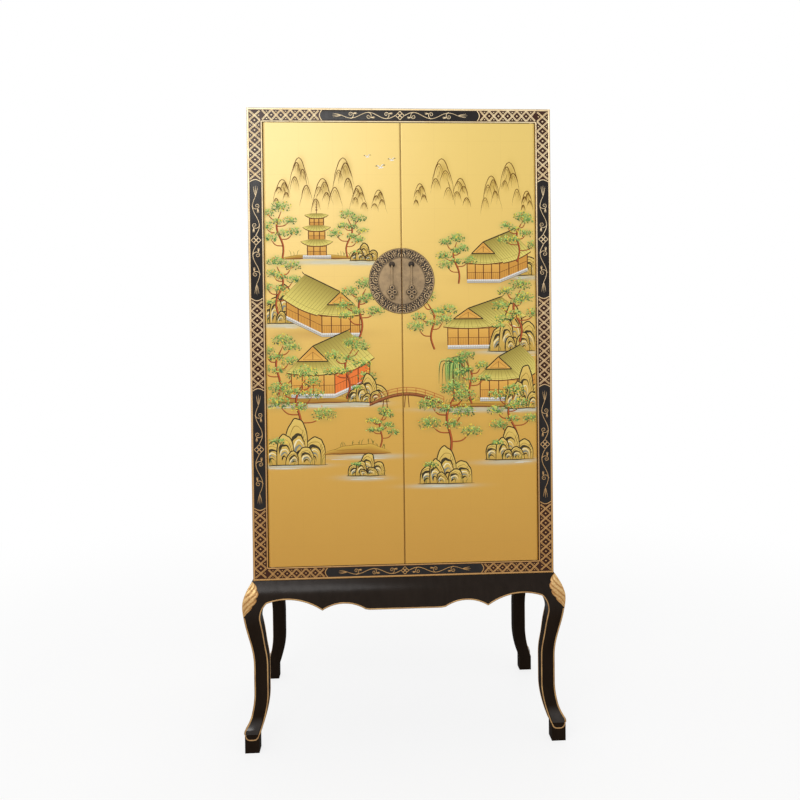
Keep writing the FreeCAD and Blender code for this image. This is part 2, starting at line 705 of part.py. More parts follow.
# Doors


def batten_heights():
    """Middle heights of a door's two battens, by name."""
    return {
        "lower": DOOR_FOOT_Z + LOWER_BATTEN_ABOVE_DOOR_FOOT,
        "upper": DOOR_HEAD_Z - UPPER_BATTEN_BELOW_DOOR_HEAD,
    }


def batten_tongue(middle_z, clearance=0.0):
    half = BATTEN_TONGUE_HEIGHT / 2 + clearance
    return block(
        (PIVOT_X + BATTEN_INSET - clearance, DOOR_BACK_Y - BATTEN_TONGUE - clearance, middle_z - half),
        (DOOR_SEAM_X - BATTEN_INSET + clearance, DOOR_BACK_Y, middle_z + half),
    )


def door_batten(middle_z):
    """A batten across the left door's back, let into a groove so that the wide leaf stays flat."""
    bar = block(
        (PIVOT_X + BATTEN_INSET, DOOR_BACK_Y, middle_z - BATTEN_HEIGHT / 2),
        (DOOR_SEAM_X - BATTEN_INSET, DOOR_BACK_Y + BATTEN_DEPTH, middle_z + BATTEN_HEIGHT / 2),
    )
    return fuse_all([bar, batten_tongue(middle_z)]).Solids[0]


def pivot_pins():
    """The left door's two pins, each half in the leaf and half in its bush."""
    reach = DOOR_GAP + PIN_IN_BUSH
    head_pin = pivot_rod(PIN_RADIUS, DOOR_HEAD_Z - PIN_IN_DOOR, DOOR_HEAD_Z + reach)
    foot_pin = pivot_rod(PIN_RADIUS, DOOR_FOOT_Z - reach, DOOR_FOOT_Z + PIN_IN_DOOR)
    return Part.makeCompound([head_pin, foot_pin])


def pivot_rod(radius, low_z, high_z):
    """A cylinder on the left door's pivot axis."""
    return rod(radius, (PIVOT_X, PIVOT_Y, low_z), (PIVOT_X, PIVOT_Y, high_z))


def pin_holes():
    radius = PIN_RADIUS + RUNNING_CLEARANCE
    head_hole = pivot_rod(radius, DOOR_HEAD_Z - PIN_IN_DOOR, DOOR_HEAD_Z)
    foot_hole = pivot_rod(radius, DOOR_FOOT_Z, DOOR_FOOT_Z + PIN_IN_DOOR)
    return [head_hole, foot_hole]


def post_axis(y):
    return (-PULL_FROM_SEAM, y, PULL_PIN_Z)


def post_hole():
    radius = POST_SHANK_RADIUS + FIT_CLEARANCE
    return rod(radius, post_axis(PLATE_FRONT_Y), post_axis(DOOR_BACK_Y + POST_NUT_HEIGHT))


def door_leaf():
    """The left leaf. Its hinge edge is rounded about the pivot, so that it turns clear of the stile."""
    slab = block((PIVOT_X, FRONT_Y, DOOR_FOOT_Z), (DOOR_SEAM_X, DOOR_BACK_Y, DOOR_HEAD_Z))
    edge = block((DOOR_HINGE_X, FRONT_Y, DOOR_FOOT_Z), (PIVOT_X, DOOR_BACK_Y, DOOR_HEAD_Z))
    turn = rod(HINGE_EDGE_RADIUS, (PIVOT_X, PIVOT_Y, DOOR_FOOT_Z), (PIVOT_X, PIVOT_Y, DOOR_HEAD_Z))
    grooves = [batten_tongue(z, TENON_CLEARANCE) for z in batten_heights().values()]
    leaf = fuse_all([slab, edge.common(turn)])
    return cut_all(leaf, grooves + pin_holes() + [post_hole()]).Solids[0]


def strike_plate():
    """The left door's steel strike, facing the catch."""
    middle_x = -CATCH_FROM_SEAM - CATCH_LENGTH / 2
    middle_z = INNER_HEAD_Z - STOP_HEIGHT - CATCH_HEIGHT / 2
    return block(
        (middle_x - STRIKE_LENGTH / 2, DOOR_BACK_Y, middle_z - STRIKE_HEIGHT / 2),
        (middle_x + STRIKE_LENGTH / 2, DOOR_BACK_Y + STRIKE_THICKNESS, middle_z + STRIKE_HEIGHT / 2),
    )


def lock_plate():
    """The left half of the round plate, with a raised ring round a plain middle."""
    centre = (0, FRONT_Y, PLATE_CENTRE_Z)
    disc = rod(PLATE_RADIUS, centre, (0, PLATE_FRONT_Y, PLATE_CENTRE_Z))
    relief_y = PLATE_FRONT_Y - PLATE_RING_RELIEF
    ring = rod(PLATE_RADIUS, centre, (0, relief_y, PLATE_CENTRE_Z))
    ring = ring.cut(rod(PLATE_RING_INNER_RADIUS, centre, (0, relief_y, PLATE_CENTRE_Z)))
    half = block(
        (-PLATE_RADIUS, relief_y, PLATE_CENTRE_Z - PLATE_RADIUS),
        (DOOR_SEAM_X - PLATE_SETBACK, FRONT_Y, PLATE_CENTRE_Z + PLATE_RADIUS),
    )
    return cut_all(fuse_all([disc, ring]).common(half), [post_hole()]).Solids[0]


def pull_axis(offset):
    """A point on the left pull's pin axis, at an offset along X from the pull's middle."""
    return (-PULL_FROM_SEAM + offset, PULL_PIN_Y, PULL_PIN_Z)


def pull_post():
    """The left post: a round base with two ears for the pull's pin, and a shank through plate and leaf."""
    base_y = PLATE_FRONT_Y - POST_BASE_HEIGHT
    pieces = [
        rod(POST_BASE_RADIUS, post_axis(PLATE_FRONT_Y), post_axis(base_y)),
        rod(POST_SHANK_RADIUS, post_axis(base_y), post_axis(DOOR_BACK_Y + POST_NUT_HEIGHT)),
    ]
    inner = KNUCKLE_LENGTH / 2 + KNUCKLE_SIDE_GAP
    for side in (1, -1):
        near, far = sorted((side * inner, side * (inner + EAR_THICKNESS)))
        pieces.append(rod(EAR_RADIUS, pull_axis(near), pull_axis(far)))
        pieces.append(
            block(
                (-PULL_FROM_SEAM + near, PULL_PIN_Y, PULL_PIN_Z - EAR_RADIUS),
                (-PULL_FROM_SEAM + far, base_y + POST_BASE_HEIGHT / 2, PULL_PIN_Z + EAR_RADIUS),
            )
        )
    end = inner + EAR_THICKNESS
    bore = rod(PULL_PIN_RADIUS + FIT_CLEARANCE, pull_axis(-end), pull_axis(end))
    return fuse_all(pieces).cut(bore).Solids[0]


def pull_pin():
    end = KNUCKLE_LENGTH / 2 + KNUCKLE_SIDE_GAP + EAR_THICKNESS
    return rod(PULL_PIN_RADIUS, pull_axis(-end), pull_axis(end))


def post_nut():
    nut = rod(POST_NUT_RADIUS, post_axis(DOOR_BACK_Y), post_axis(DOOR_BACK_Y + POST_NUT_HEIGHT))
    return nut.cut(post_hole()).Solids[0]


def pendant_lobes():
    """Middles of the round lobes that make up a pull's pendant: one above, a pair, and one below."""
    head_z = PULL_PIN_Z - STRAP_LENGTH
    middle_z = head_z - PENDANT_DROP
    foot_z = middle_z - PENDANT_DROP
    return [(0, head_z), (-PENDANT_SPREAD, middle_z), (PENDANT_SPREAD, middle_z), (0, foot_z)]


def hanging_pull():
    """The left pull: a knuckle on the pin, a plain strap, and a lobed pendant."""
    half = KNUCKLE_LENGTH / 2
    knuckle = rod(KNUCKLE_RADIUS, pull_axis(-half), pull_axis(half))
    strap = block(
        (-PULL_FROM_SEAM - STRAP_WIDTH / 2, PULL_PIN_Y - STRAP_THICKNESS / 2, PULL_PIN_Z - STRAP_LENGTH),
        (-PULL_FROM_SEAM + STRAP_WIDTH / 2, PULL_PIN_Y + STRAP_THICKNESS / 2, PULL_PIN_Z),
    )
    pieces = [knuckle, strap]
    for offset, z in pendant_lobes():
        x = -PULL_FROM_SEAM + offset
        back_y, front_y = PULL_PIN_Y + PENDANT_THICKNESS / 2, PULL_PIN_Y - PENDANT_THICKNESS / 2
        pieces.append(rod(PENDANT_LOBE_RADIUS, (x, back_y, z), (x, front_y, z)))
    bore = rod(PULL_PIN_RADIUS + RUNNING_CLEARANCE, pull_axis(-half), pull_axis(half))
    return fuse_all(pieces).cut(bore).Solids[0]


def make_doors():
    parts = {
        "left_door_leaf": door_leaf(),
        "left_door_pivot_pins": pivot_pins(),
        "left_strike_plate": strike_plate(),
        "left_lock_plate": lock_plate(),
        "left_pull_post": pull_post(),
        "left_pull_pin": pull_pin(),
        "left_post_nut": post_nut(),
        "left_pull": hanging_pull(),
    }
    for name, middle_z in batten_heights().items():
        parts[f"left_door_{name}_batten"] = door_batten(middle_z)
    for name in list(parts):
        parts[name.replace("left", "right")] = across(parts[name])
    return parts


def main():
    os.makedirs("parts", exist_ok=True)
    for name, shape in {**make_stand(), **make_case(), **make_doors()}.items():
        whole = all(s.isValid() and s.Volume > 0 for s in shape.Solids)
        state = "whole" if whole else "broken"
        print(f"{name}: {len(shape.Solids)} solid(s), {shape.Volume / 1000:.1f} cm3, {state}")
        shape.exportStep(os.path.join("parts", name + ".step"))


main()
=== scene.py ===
"""Finish of a gold-leaf wardrobe on a black cabriole stand.

The case's boards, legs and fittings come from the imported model. This script gives them their lacquers,
lays the gold leaf and its painted landscape on the doors and sides, and adds the gilt lattice, scrolls and
edge lines, the carved knees, the rounded toes, the chased lock plate and the cast pulls. Shapes are worked
out in millimetres and put into meshes in metres.
"""

import json
import math

import bpy
import numpy as np
from mathutils import Matrix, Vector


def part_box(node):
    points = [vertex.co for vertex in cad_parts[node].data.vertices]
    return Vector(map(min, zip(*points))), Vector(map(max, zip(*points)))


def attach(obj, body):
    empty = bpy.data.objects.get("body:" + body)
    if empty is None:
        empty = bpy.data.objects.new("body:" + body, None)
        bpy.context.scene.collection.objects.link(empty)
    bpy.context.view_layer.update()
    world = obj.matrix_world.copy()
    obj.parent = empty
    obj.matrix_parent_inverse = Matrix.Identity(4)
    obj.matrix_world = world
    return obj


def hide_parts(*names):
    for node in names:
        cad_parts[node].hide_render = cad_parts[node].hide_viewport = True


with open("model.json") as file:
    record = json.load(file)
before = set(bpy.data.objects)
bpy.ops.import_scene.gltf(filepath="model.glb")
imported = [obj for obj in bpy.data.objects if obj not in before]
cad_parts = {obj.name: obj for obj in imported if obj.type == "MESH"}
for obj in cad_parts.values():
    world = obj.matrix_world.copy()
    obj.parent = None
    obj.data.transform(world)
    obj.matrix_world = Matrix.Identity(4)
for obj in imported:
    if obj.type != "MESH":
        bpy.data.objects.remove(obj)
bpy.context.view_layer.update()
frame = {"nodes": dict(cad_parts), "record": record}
MM = 0.001


def box_mm(node):
    """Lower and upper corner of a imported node, in millimetres."""
    low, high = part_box(node)
    return np.array(low) / MM, np.array(high) / MM


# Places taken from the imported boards

STILE_LOW, STILE_HIGH = box_mm("left_stile")
LEAF_LOW, LEAF_HIGH = box_mm("left_door_leaf")
PLATE_LOW, PLATE_HIGH = box_mm("left_lock_plate")
PULL_LOW, PULL_HIGH = box_mm("left_pull")
CASE_HALF = -STILE_LOW[0]
CASE_FRONT = STILE_LOW[1]
CASE_FOOT = STILE_LOW[2]
CASE_HEAD = STILE_HIGH[2]
STILE_WIDTH = STILE_HIGH[0] - STILE_LOW[0]
TOP_RAIL = CASE_HEAD - box_mm("top_rail")[0][2]
BOTTOM_RAIL = box_mm("bottom_rail")[1][2] - CASE_FOOT
DEPTH_HALF = box_mm("back_panel")[1][1]

# Curve of the legs and aprons, as in the solids

LEG_WIDTH = 42.0
LEG_TOP_REACH = 2.0
KNEE_DROP = 68.0
KNEE_REACH = 28.0
WAIST_TOP = 245.0
WAIST_BOTTOM = 165.0
WAIST_REACH = 1.0
FOOT_HEIGHT = 48.0
FOOT_REACH = 27.0
FOOT_DIP = 14.0
FOOT_FLARE_POWER = 1.85
FLARE_DROP = 108.0
FLARE_BEND_IN = 0.3
FLARE_BEND_UP = 0.62
SHOULDER = 6.0
SHOULDER_TOP_DROP = 125.0
SHOULDER_FOOT_DROP = 207.0
SPRING_DROP = 60.0
ARCH_DROP = 51.0
ARCH_FROM_LEG = 56.0
ARCH_SPAN = 162.0
CUSP_DROP = 85.0
LOBE_SPAN = 127.0
LOBE_DROP = 66.0
OGEE_RUN = 12.0
APRON_DROP = 87.0
SIDE_APRON_FLAT_HALF = 34.0

# Gilt work

OUTER_BAND = 6.0
INNER_LINE = 3.6
LINE_HEIGHT = 0.7
REVEAL_DEPTH = 7.0
GROUND_LIFT = 0.05
GROUND_CELL = 60.0
LATTICE_PITCH = 29.5
FOOT_LATTICE_PITCH = 26.0
LATTICE_LINE = 1.2
LATTICE_TWIN = 1.4
LATTICE_HEIGHT = 0.9
LATTICE_GAP = 1.2
STILE_LATTICE_INSET = 2.0
RAIL_LATTICE_INSET = 3.0
DIAMOND_STUD = 3.2
EDGE_STUD = 2.4
EDGE_STUD_INSET = 4.2
STUD_TAPER = np.array([0.06, 0.5, 1.0, 0.5, 0.06])
STUD_HEIGHT = 0.7
STILE_CARTOUCHES = ((711.0, 1069.0), (1331.0, 1684.0))
FRONT_RAIL_CARTOUCHE_HALF = 236.0
SIDE_RAIL_CARTOUCHE_HALF = 110.0
CARTOUCHE_POINT = 7.0
CARTOUCHE_LIFT = 0.35
END_LINE_HALF = 1.5
END_LINE_HEIGHT = 0.8
VINE_WAVE = 52.0
VINE_HEIGHT = 0.5
LOZENGE_HEIGHT = 0.55
LOZENGE_LINE = 1.15
TUFT_HEIGHT = 0.45
TUFT_FAN = np.array([-0.42, 0.0, 0.42])[:, None]
EDGE_LINE_HALF = 1.9
EDGE_LINE_INSET = 2.3
EDGE_LINE_HEIGHT = 0.9

# Ways round the part, as signs across and towards

FOUR_CORNERS = ((1, 1), (1, -1), (-1, 1), (-1, -1))

# Twice the area, in square millimetres, at which a quad counts as nothing

LEAST_QUAD = 1e-3


def linear(red, green, blue):
    """An eight-bit screen colour as the light values that shaders take."""
    share = np.array([red, green, blue]) / 255
    return tuple(np.where(share <= 0.04045, share / 12.92, ((share + 0.055) / 1.055) ** 2.4))


# Shapes


def grey(tone):
    """Tones as colours: each number three times."""
    return np.repeat(np.asarray(tone, float)[..., None], 3, -1)


def unit(vectors):
    """Vectors at length one."""
    return vectors / np.maximum(np.linalg.norm(vectors, axis=-1, keepdims=True), 1e-9)


class Shell:
    """Points, quads and point colours of one piece, gathered grid by grid, in millimetres."""

    def __init__(self):
        self.points, self.quads, self.colours, self.count = [], [], [], 0

    def add(self, grid, colour=(1.0, 1.0, 1.0), closed=False):
        """Adds grids of shape (..., rows, columns, 3), one quad to a cell.

        A quad faces along its step from row to row crossed with its step from column to column. colour is
        red, green, blue and an optional fourth number, for the whole grid or spread over it; closed joins
        the last row to the first.
        """
        grid = np.asarray(grid, float)
        rows, columns = grid.shape[-3:-1]
        index = np.arange(grid[..., 0].size).reshape(-1, rows, columns) + self.count
        if closed:
            index = np.concatenate([index, index[:, :1]], 1)
        corners = [index[:, :-1, :-1], index[:, 1:, :-1], index[:, 1:, 1:], index[:, :-1, 1:]]
        colour = np.asarray(colour, float)
        if colour.shape[-1] == 3:
            colour = np.concatenate([colour, np.ones_like(colour[..., :1])], -1)
        self.quads.append(np.stack(corners, -1).reshape(-1, 4))
        self.points.append(grid.reshape(-1, 3))
        self.colours.append(np.broadcast_to(colour, grid.shape[:-1] + (4,)).reshape(-1, 4))
        self.count += grid[..., 0].size

    def make(self, name, finish, body, slot, replaces=(), smooth=True):
        """Puts the gathered grids into one mesh object that rides on a body, without quads of no area."""
        points, quads = np.concatenate(self.points), np.concatenate(self.quads)
        colours = np.concatenate(self.colours)
        a, b, c, d = np.moveaxis(points[quads], 1, 0)
        area = np.linalg.norm(np.cross(c - a, d - b), axis=1)
        used, quads = np.unique(quads[area > LEAST_QUAD], return_inverse=True)
        quads = quads.reshape(-1, 4)
        mesh = bpy.data.meshes.new(name)
        mesh.from_pydata((points[used] * MM).tolist(), [], quads.tolist())
        mesh.polygons.foreach_set("use_smooth", np.full(len(mesh.polygons), smooth))
        paint = mesh.attributes.new("Paint", "FLOAT_COLOR", "POINT")
        paint.data.foreach_set("color", colours[used].astype(np.float32).ravel())
        mesh.materials.append(finish)
        mesh.validate()
        piece = bpy.data.objects.new(name, mesh)
        bpy.context.scene.collection.objects.link(piece)
        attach(piece, body)
        if replaces:
            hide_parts(*replaces)


class Face:
    """One flat face of the case: places (along, up) points at a height proud of it."""

    def __init__(self, origin, along, outward):
        self.origin, self.along, self.outward = (np.array(v, float) for v in (origin, along, outward))
        self.up = np.array([0.0, 0.0, 1.0])

    def place(self, flat, proud=0.0):
        flat = np.asarray(flat, float)
        proud = np.broadcast_to(proud, flat.shape[:-1])[..., None]
        return self.origin + flat[..., :1] * self.along + flat[..., 1:2] * self.up + proud * self.outward


FRONT_FACE = Face((0, CASE_FRONT, 0), (1, 0, 0), (0, -1, 0))
LEFT_FACE = Face((-CASE_HALF, 0, 0), (0, -1, 0), (-1, 0, 0))
RIGHT_FACE = Face((CASE_HALF, 0, 0), (0, 1, 0), (1, 0, 0))


BEAD_SINK = 0.15


def beads(path, outward, half_width, height, across=5):
    """Low rounded beads along paths of shape (..., points, 3).

    Across the bead, s from -1 to 1, it stands height * (1 - s squared) proud and its edges sink a little.
    """
    path = np.asarray(path, float)
    outward = np.broadcast_to(np.asarray(outward, float), path.shape)
    ahead = unit(np.gradient(path, axis=-2))
    left = unit(np.cross(outward, ahead))
    s = np.linspace(-1, 1, across)
    half_width = np.broadcast_to(half_width, path.shape[:-1])[..., None, None]
    rise = (height * (1 - s**2) - BEAD_SINK * s**2)[:, None]
    return path[..., None, :] + left[..., None, :] * half_width * s[:, None] + outward[..., None, :] * rise


def bell(offset, half):
    """1 at no offset, falling off on either hand as e to the minus (offset / half) squared."""
    return np.exp(-((offset / half) ** 2))


def segments(starts, ends, count=2):
    """Straight paths of count points from each start to each end."""
    share = np.linspace(0, 1, count)[:, None]
    starts, ends = np.asarray(starts, float), np.asarray(ends, float)
    return starts[..., None, :] * (1 - share) + ends[..., None, :] * share


def arc_points(start, middle, end, count):
    """Points on the circle through three flat points, from the first to the last."""
    (ax, az), (bx, bz), (cx, cz) = start, middle, end
    d = 2 * (ax * (bz - cz) + bx * (cz - az) + cx * (az - bz))
    a2, b2, c2 = ax**2 + az**2, bx**2 + bz**2, cx**2 + cz**2
    ox = (a2 * (bz - cz) + b2 * (cz - az) + c2 * (az - bz)) / d
    oz = (a2 * (cx - bx) + b2 * (ax - cx) + c2 * (bx - ax)) / d
    first, last = math.atan2(az - oz, ax - ox), math.atan2(cz - oz, cx - ox)
    turn = np.linspace(first, first + (last - first + math.pi) % (2 * math.pi) - math.pi, count)
    radius = math.hypot(ax - ox, az - oz)
    return np.stack([ox + radius * np.cos(turn), oz + radius * np.sin(turn)], -1)


def bezier(p0, p1, p2, p3, count):
    """Cubic curves of count points; each control point is flat, or an array of flat points."""
    t = np.linspace(0, 1, count)[:, None]
    p0, p1, p2, p3 = (np.asarray(p, float)[..., None, :] for p in (p0, p1, p2, p3))
    return p0 * (1 - t) ** 3 + 3 * p1 * t * (1 - t) ** 2 + 3 * p2 * t**2 * (1 - t) + p3 * t**3


# Finishes


class Value:
    """A shader socket whose sums, in Python, become Math nodes."""

    def __init__(self, finish, socket):
        self.finish, self.socket = finish, socket

    def math(self, operation, *others):
        return self.finish.node("ShaderNodeMath", {"operation": operation}, [self, *others])

    def __add__(self, other):
        return self.math("ADD", other)

    def __mul__(self, other):
        return self.math("MULTIPLY", other)

    def __sub__(self, other):
        return self.math("SUBTRACT", other)

    def __rsub__(self, other):
        return self.finish.node("ShaderNodeMath", {"operation": "SUBTRACT"}, [other, self])

    def __truediv__(self, other):
        return self.math("DIVIDE", other)

    def __pow__(self, other):
        return self.math("POWER", other)

    __radd__ = __add__
    __rmul__ = __mul__

    def clamped(self):
        return self.math("MAXIMUM", 0.0).math("MINIMUM", 1.0)


SEEN_RAYS = ("Is Camera Ray", "Is Glossy Ray", "Is Transmission Ray")


class Finish:
    """One procedural material, built up from nodes; its skin is the shader that shows."""

    def __init__(self, name):
        self.material = bpy.data.materials.new(name)
        self.take(self.material, "Principled BSDF")

    def take(self, owner, skin):
        owner.use_nodes = True
        self.nodes, self.links = owner.node_tree.nodes, owner.node_tree.links
        self.skin = self.nodes[skin]

    def node(self, kind, settings=None, sockets=(), output=0):
        """Adds a node: settings first, then the values or links of its sockets, by place or by name."""
        made = self.nodes.new(kind)
        for key, value in (settings or {}).items():
            if key == "stops":
                self.set_stops(made.color_ramp, value)
            else:
                setattr(made, key, value)
        for key, value in sockets.items() if isinstance(sockets, dict) else enumerate(sockets):
            self.feed(made.inputs[key], value)
        return Value(self, made.outputs[output])

    @staticmethod
    def set_stops(ramp, stops):
        """Gives a colour ramp its stops, each a place from 0 to 1 and a colour."""
        while len(ramp.elements) < len(stops):
            ramp.elements.new(0.5)
        for element, (place, colour) in zip(ramp.elements, stops):
            element.position = place
            element.color = (*colour, 1)

    def feed(self, socket, value):
        """Links a value of other nodes to a socket, or sets the socket to a number, vector or colour."""
        if isinstance(value, Value):
            self.links.new(value.socket, socket)
        elif socket.type == "RGBA":
            socket.default_value = (*value[:3], 1)
        else:
            socket.default_value = value

    def wear(self, **sockets):
        """Sets the surface shader's own sockets, with spaces written as underscores."""
        for key, value in sockets.items():
            self.feed(self.skin.inputs[key.replace("_", " ")], value)

    def place(self):
        return self.node("ShaderNodeTexCoord", output="Object")

    def axes(self, place):
        split = self.node("ShaderNodeSeparateXYZ", None, [place])
        return [Value(self, socket) for socket in split.socket.node.outputs]

    def stretched(self, place, scale):
        return self.node("ShaderNodeMapping", None, {"Vector": place, "Scale": scale})

    def noise(self, place, scale, detail=3.0, roughness=0.55):
        settings = {"Vector": place, "Scale": scale, "Detail": detail, "Roughness": roughness}
        return self.node("ShaderNodeTexNoise", None, settings)

    def blend(self, share, first, second):
        return self.node("ShaderNodeMix", {"data_type": "RGBA"}, {0: share, 6: first, 7: second}, output=2)

    def ramp(self, share, stops):
        return self.node("ShaderNodeValToRGB", {"stops": stops}, [share])

    def between(self, value, low, high):
        """0 below low, 1 above high and smooth between."""
        settings = {"interpolation_type": "SMOOTHSTEP"}
        sockets = {"Value": value, "From Min": low, "From Max": high}
        return self.node("ShaderNodeMapRange", settings, sockets)

    def bump(self, height, strength, distance):
        sockets = {"Strength": strength, "Distance": distance, "Height": height}
        self.wear(Normal=self.node("ShaderNodeBump", None, sockets))

    def paint(self, output="Color"):
        """The colours that a Shell keeps at its points, or their fourth number."""
        return self.node("ShaderNodeAttribute", {"attribute_name": "Paint"}, output=output)

    def seen(self):
        """1 for rays from the camera, mirrored rays and rays let through, and 0 for the rest."""
        rays = self.node("ShaderNodeLightPath").socket.node.outputs
        share, *others = (Value(self, rays[name]) for name in SEEN_RAYS)
        for other in others:
            share = share.math("MAXIMUM", other)
        return share


class Surround(Finish):
    """The world round the part, fed in the way that a finish is."""

    def __init__(self, name):
        self.world = bpy.data.worlds.new(name)
        self.take(self.world, "Background")


def lacquer(name, dark, pale, gloss, roughness, polish=None):
    """Brushed-on lacquer: long faint brush drags in the colour, and a clear coat with fine dust in it.

    gloss is the coat's share, uneven along the drags, and roughness is the coat's own. polish gives two
    heights and another share, which holds below the first height and passes into gloss up to the second.
    """
    finish = Finish(name)
    place = finish.place()
    drag = finish.noise(finish.stretched(place, (9, 9, 2.5)), 6.0, 4.0)
    dust = finish.noise(place, 260.0, 2.0)
    cloud = finish.noise(place, 5.0, 3.0)
    share = (drag * 0.6 + cloud * 0.5).clamped()
    if polish:
        low, high, low_gloss = polish
        rise = finish.between(finish.axes(place)[2], low * MM, high * MM)
        gloss = rise * (gloss - low_gloss) + low_gloss
    finish.wear(
        Base_Color=finish.blend(share, dark, pale),
        Roughness=(0.5 + drag * 0.2).clamped(),
        Specular_IOR_Level=0.0,
        Coat_Weight=(drag * 0.6 + dust * 0.2 + 0.6) * gloss,
        Coat_Roughness=roughness,
    )
    finish.bump(drag * 0.7 + dust * 0.3, 0.18, 0.0006)
    return finish.material


def gilt_paint(name, pale, deep, ground, foot_shade=None):
    """Gilt line work: uneven in tone, and rubbed through to the brown ground in specks.

    With a foot colour the gilt passes into it from the case's head to its foot: painted shade, darker
    towards the foot.
    """
    finish = Finish(name)
    place = finish.place()
    tone = finish.noise(place, 34.0, 3.0)
    rub = finish.between(finish.noise(place, 210.0, 3.0, 0.65), 0.60, 0.74)
    base = finish.blend((tone * 1.6 - 0.3).clamped(), deep, pale)
    if foot_shade:
        # Painted shade: the gilt darkens from the case's head down to its foot
        share = finish.between(finish.axes(place)[2], CASE_FOOT * MM, CASE_HEAD * MM)
        base = finish.blend(share, foot_shade, base)
    finish.wear(
        Base_Color=finish.blend(rub * 0.45, base, ground),
        Roughness=(0.32 + rub * 0.25 + tone * 0.1).clamped(),
        Metallic=(0.25 - rub * 0.2).clamped(),
    )
    finish.bump(tone * 0.6 + rub * -0.4, 0.3, 0.0005)
    return finish.material


def carved_gilt():
    """Gilding on carving: the Paint attribute's red is the carved height, so hollows keep a brown glaze."""
    finish = Finish("carved_gilt")
    place = finish.place()
    height = finish.node("ShaderNodeSeparateColor", None, [finish.paint()])
    tone = finish.noise(place, 60.0, 3.0)
    fleck = finish.noise(place, 190.0, 3.0, 0.65)
    share = (height * 0.85 + tone * 0.25 + fleck * 0.7 - 0.42).clamped()
    stops = [(0.0, linear(62, 36, 16)), (0.4, linear(172, 120, 56)), (1.0, linear(240, 208, 146))]
    finish.wear(
        Base_Color=finish.ramp(share, stops),
        Roughness=(0.5 - share * 0.15).clamped(),
        Metallic=(share * 0.45).clamped(),
    )
    finish.bump(tone, 0.2, 0.0005)
    return finish.material


LEAF_SQUARE = 100.0


def gold_leaf():
    """Gold leaf under clear lacquer, pale at the head and ochre at the foot, with painted washes over it.

    The gold follows height, ochre at the foot and pale at the head, partly its own tone and partly painted
    shade falling off from the head down. A paler left half near the head is a painted highlight. Squares of
    leaf show as faint laps. The Paint attribute holds the washes: its colour lies over the gold by its
    alpha.
    """
    finish = Finish("gold_leaf")
    place = finish.place()
    across, _, up = finish.axes(place)
    cloud = finish.noise(place, 3.2, 3.0)
    share = (up - CASE_FOOT * MM) / ((CASE_HEAD - CASE_FOOT) * MM) + (cloud - 0.5) * 0.08
    # Ochre at the foot to pale at the head: partly the leaf's own tone, partly painted shade from the head
    # down
    stops = [
        (0.0, linear(194, 143, 52)),
        (0.35, linear(209, 163, 68)),
        (0.62, linear(227, 190, 99)),
        (1.0, linear(226, 196, 108)),
    ]
    gold = finish.ramp(share, stops)
    # Painted highlight: a paler glare over the left half near the head
    pale = finish.between(share, 0.40, 1.0) * finish.between(across * -1, -0.25, 0.45)
    gold = finish.blend(pale * 0.3, gold, linear(232, 216, 174))
    brick = {"offset": 0.0, "squash": 1.0}
    upright = finish.node("ShaderNodeMapping", None, {"Vector": place, "Rotation": (math.pi / 2, 0, 0)})
    laps = {
        "Vector": upright,
        "Scale": 1.0,
        "Mortar Size": 0.0012,
        "Mortar Smooth": 0.6,
        "Brick Width": LEAF_SQUARE * MM,
        "Row Height": LEAF_SQUARE * MM,
    }
    lap = finish.node("ShaderNodeTexBrick", brick, laps, output="Fac")
    fleck = finish.noise(place, 420.0, 2.0)
    gold = finish.blend(lap * 0.05, gold, linear(160, 112, 50))
    gold = finish.blend(finish.between(fleck, 0.62, 0.8) * 0.10, gold, linear(252, 236, 180))
    cover = finish.paint("Alpha")
    finish.wear(
        Base_Color=finish.blend(cover, gold, finish.paint()),
        Roughness=(0.42 + cloud * 0.08 + cover * 0.12).clamped(),
        Metallic=(0.2 - cover * 0.18).clamped(),
        Coat_Weight=0.1,
        Coat_Roughness=0.35,
    )
    finish.bump(fleck * 0.4 + lap * 0.3, 0.12, 0.0004)
    return finish.material


def brush_paint():
    """Brushed paint: each mark keeps its own colour, and gold shows through where the brush ran dry."""
    finish = Finish("brush_paint")
    place = finish.place()
    streak = finish.noise(finish.stretched(place, (1, 1, 0.4)), 300.0, 2.0)
    dry = finish.between(streak, 0.62, 0.82) * 0.22
    finish.wear(
        Base_Color=finish.blend(dry, finish.paint(), linear(214, 170, 84)),
        Roughness=(0.48 + streak * 0.15).clamped(),
        Specular_Tint=(0.4, 0.4, 0.4),
        Coat_Weight=0.06,
        Coat_Roughness=0.3,
    )
    finish.bump(streak, 0.2, 0.0003)
    return finish.material


def antique_brass(name, relief, level=0.6):
    """Patinated brass; relief takes the Paint attribute's red as the chased height, dark in the hollows.

    Without relief, level says how bright the metal is rubbed.
    """
    finish = Finish(name)
    place = finish.place()
    stain = finish.noise(place, 38.0, 4.0, 0.6)
    grain = finish.noise(finish.stretched(place, (1, 1, 0.15)), 520.0, 2.0)
    if relief:
        height = finish.node("ShaderNodeSeparateColor", None, [finish.paint()])
    else:
        height = stain * 0.4 + level
    share = (height * 0.95 + (stain - 0.5) * 0.5 + (grain - 0.5) * 0.15).clamped()
    stops = [
        (0.0, linear(40, 32, 26)),
        (0.30, linear(92, 76, 58)),
        (0.68, linear(164, 138, 102)),
        (1.0, linear(206, 180, 138)),
    ]
    finish.wear(
        Base_Color=finish.ramp(share, stops),
        Roughness=(0.52 - share * 0.16 + grain * 0.08).clamped(),
        Metallic=(0.35 + share * 0.35).clamped(),
    )
    finish.bump(stain * 0.5 + grain * 0.5, 0.15, 0.0004)
    return finish.material


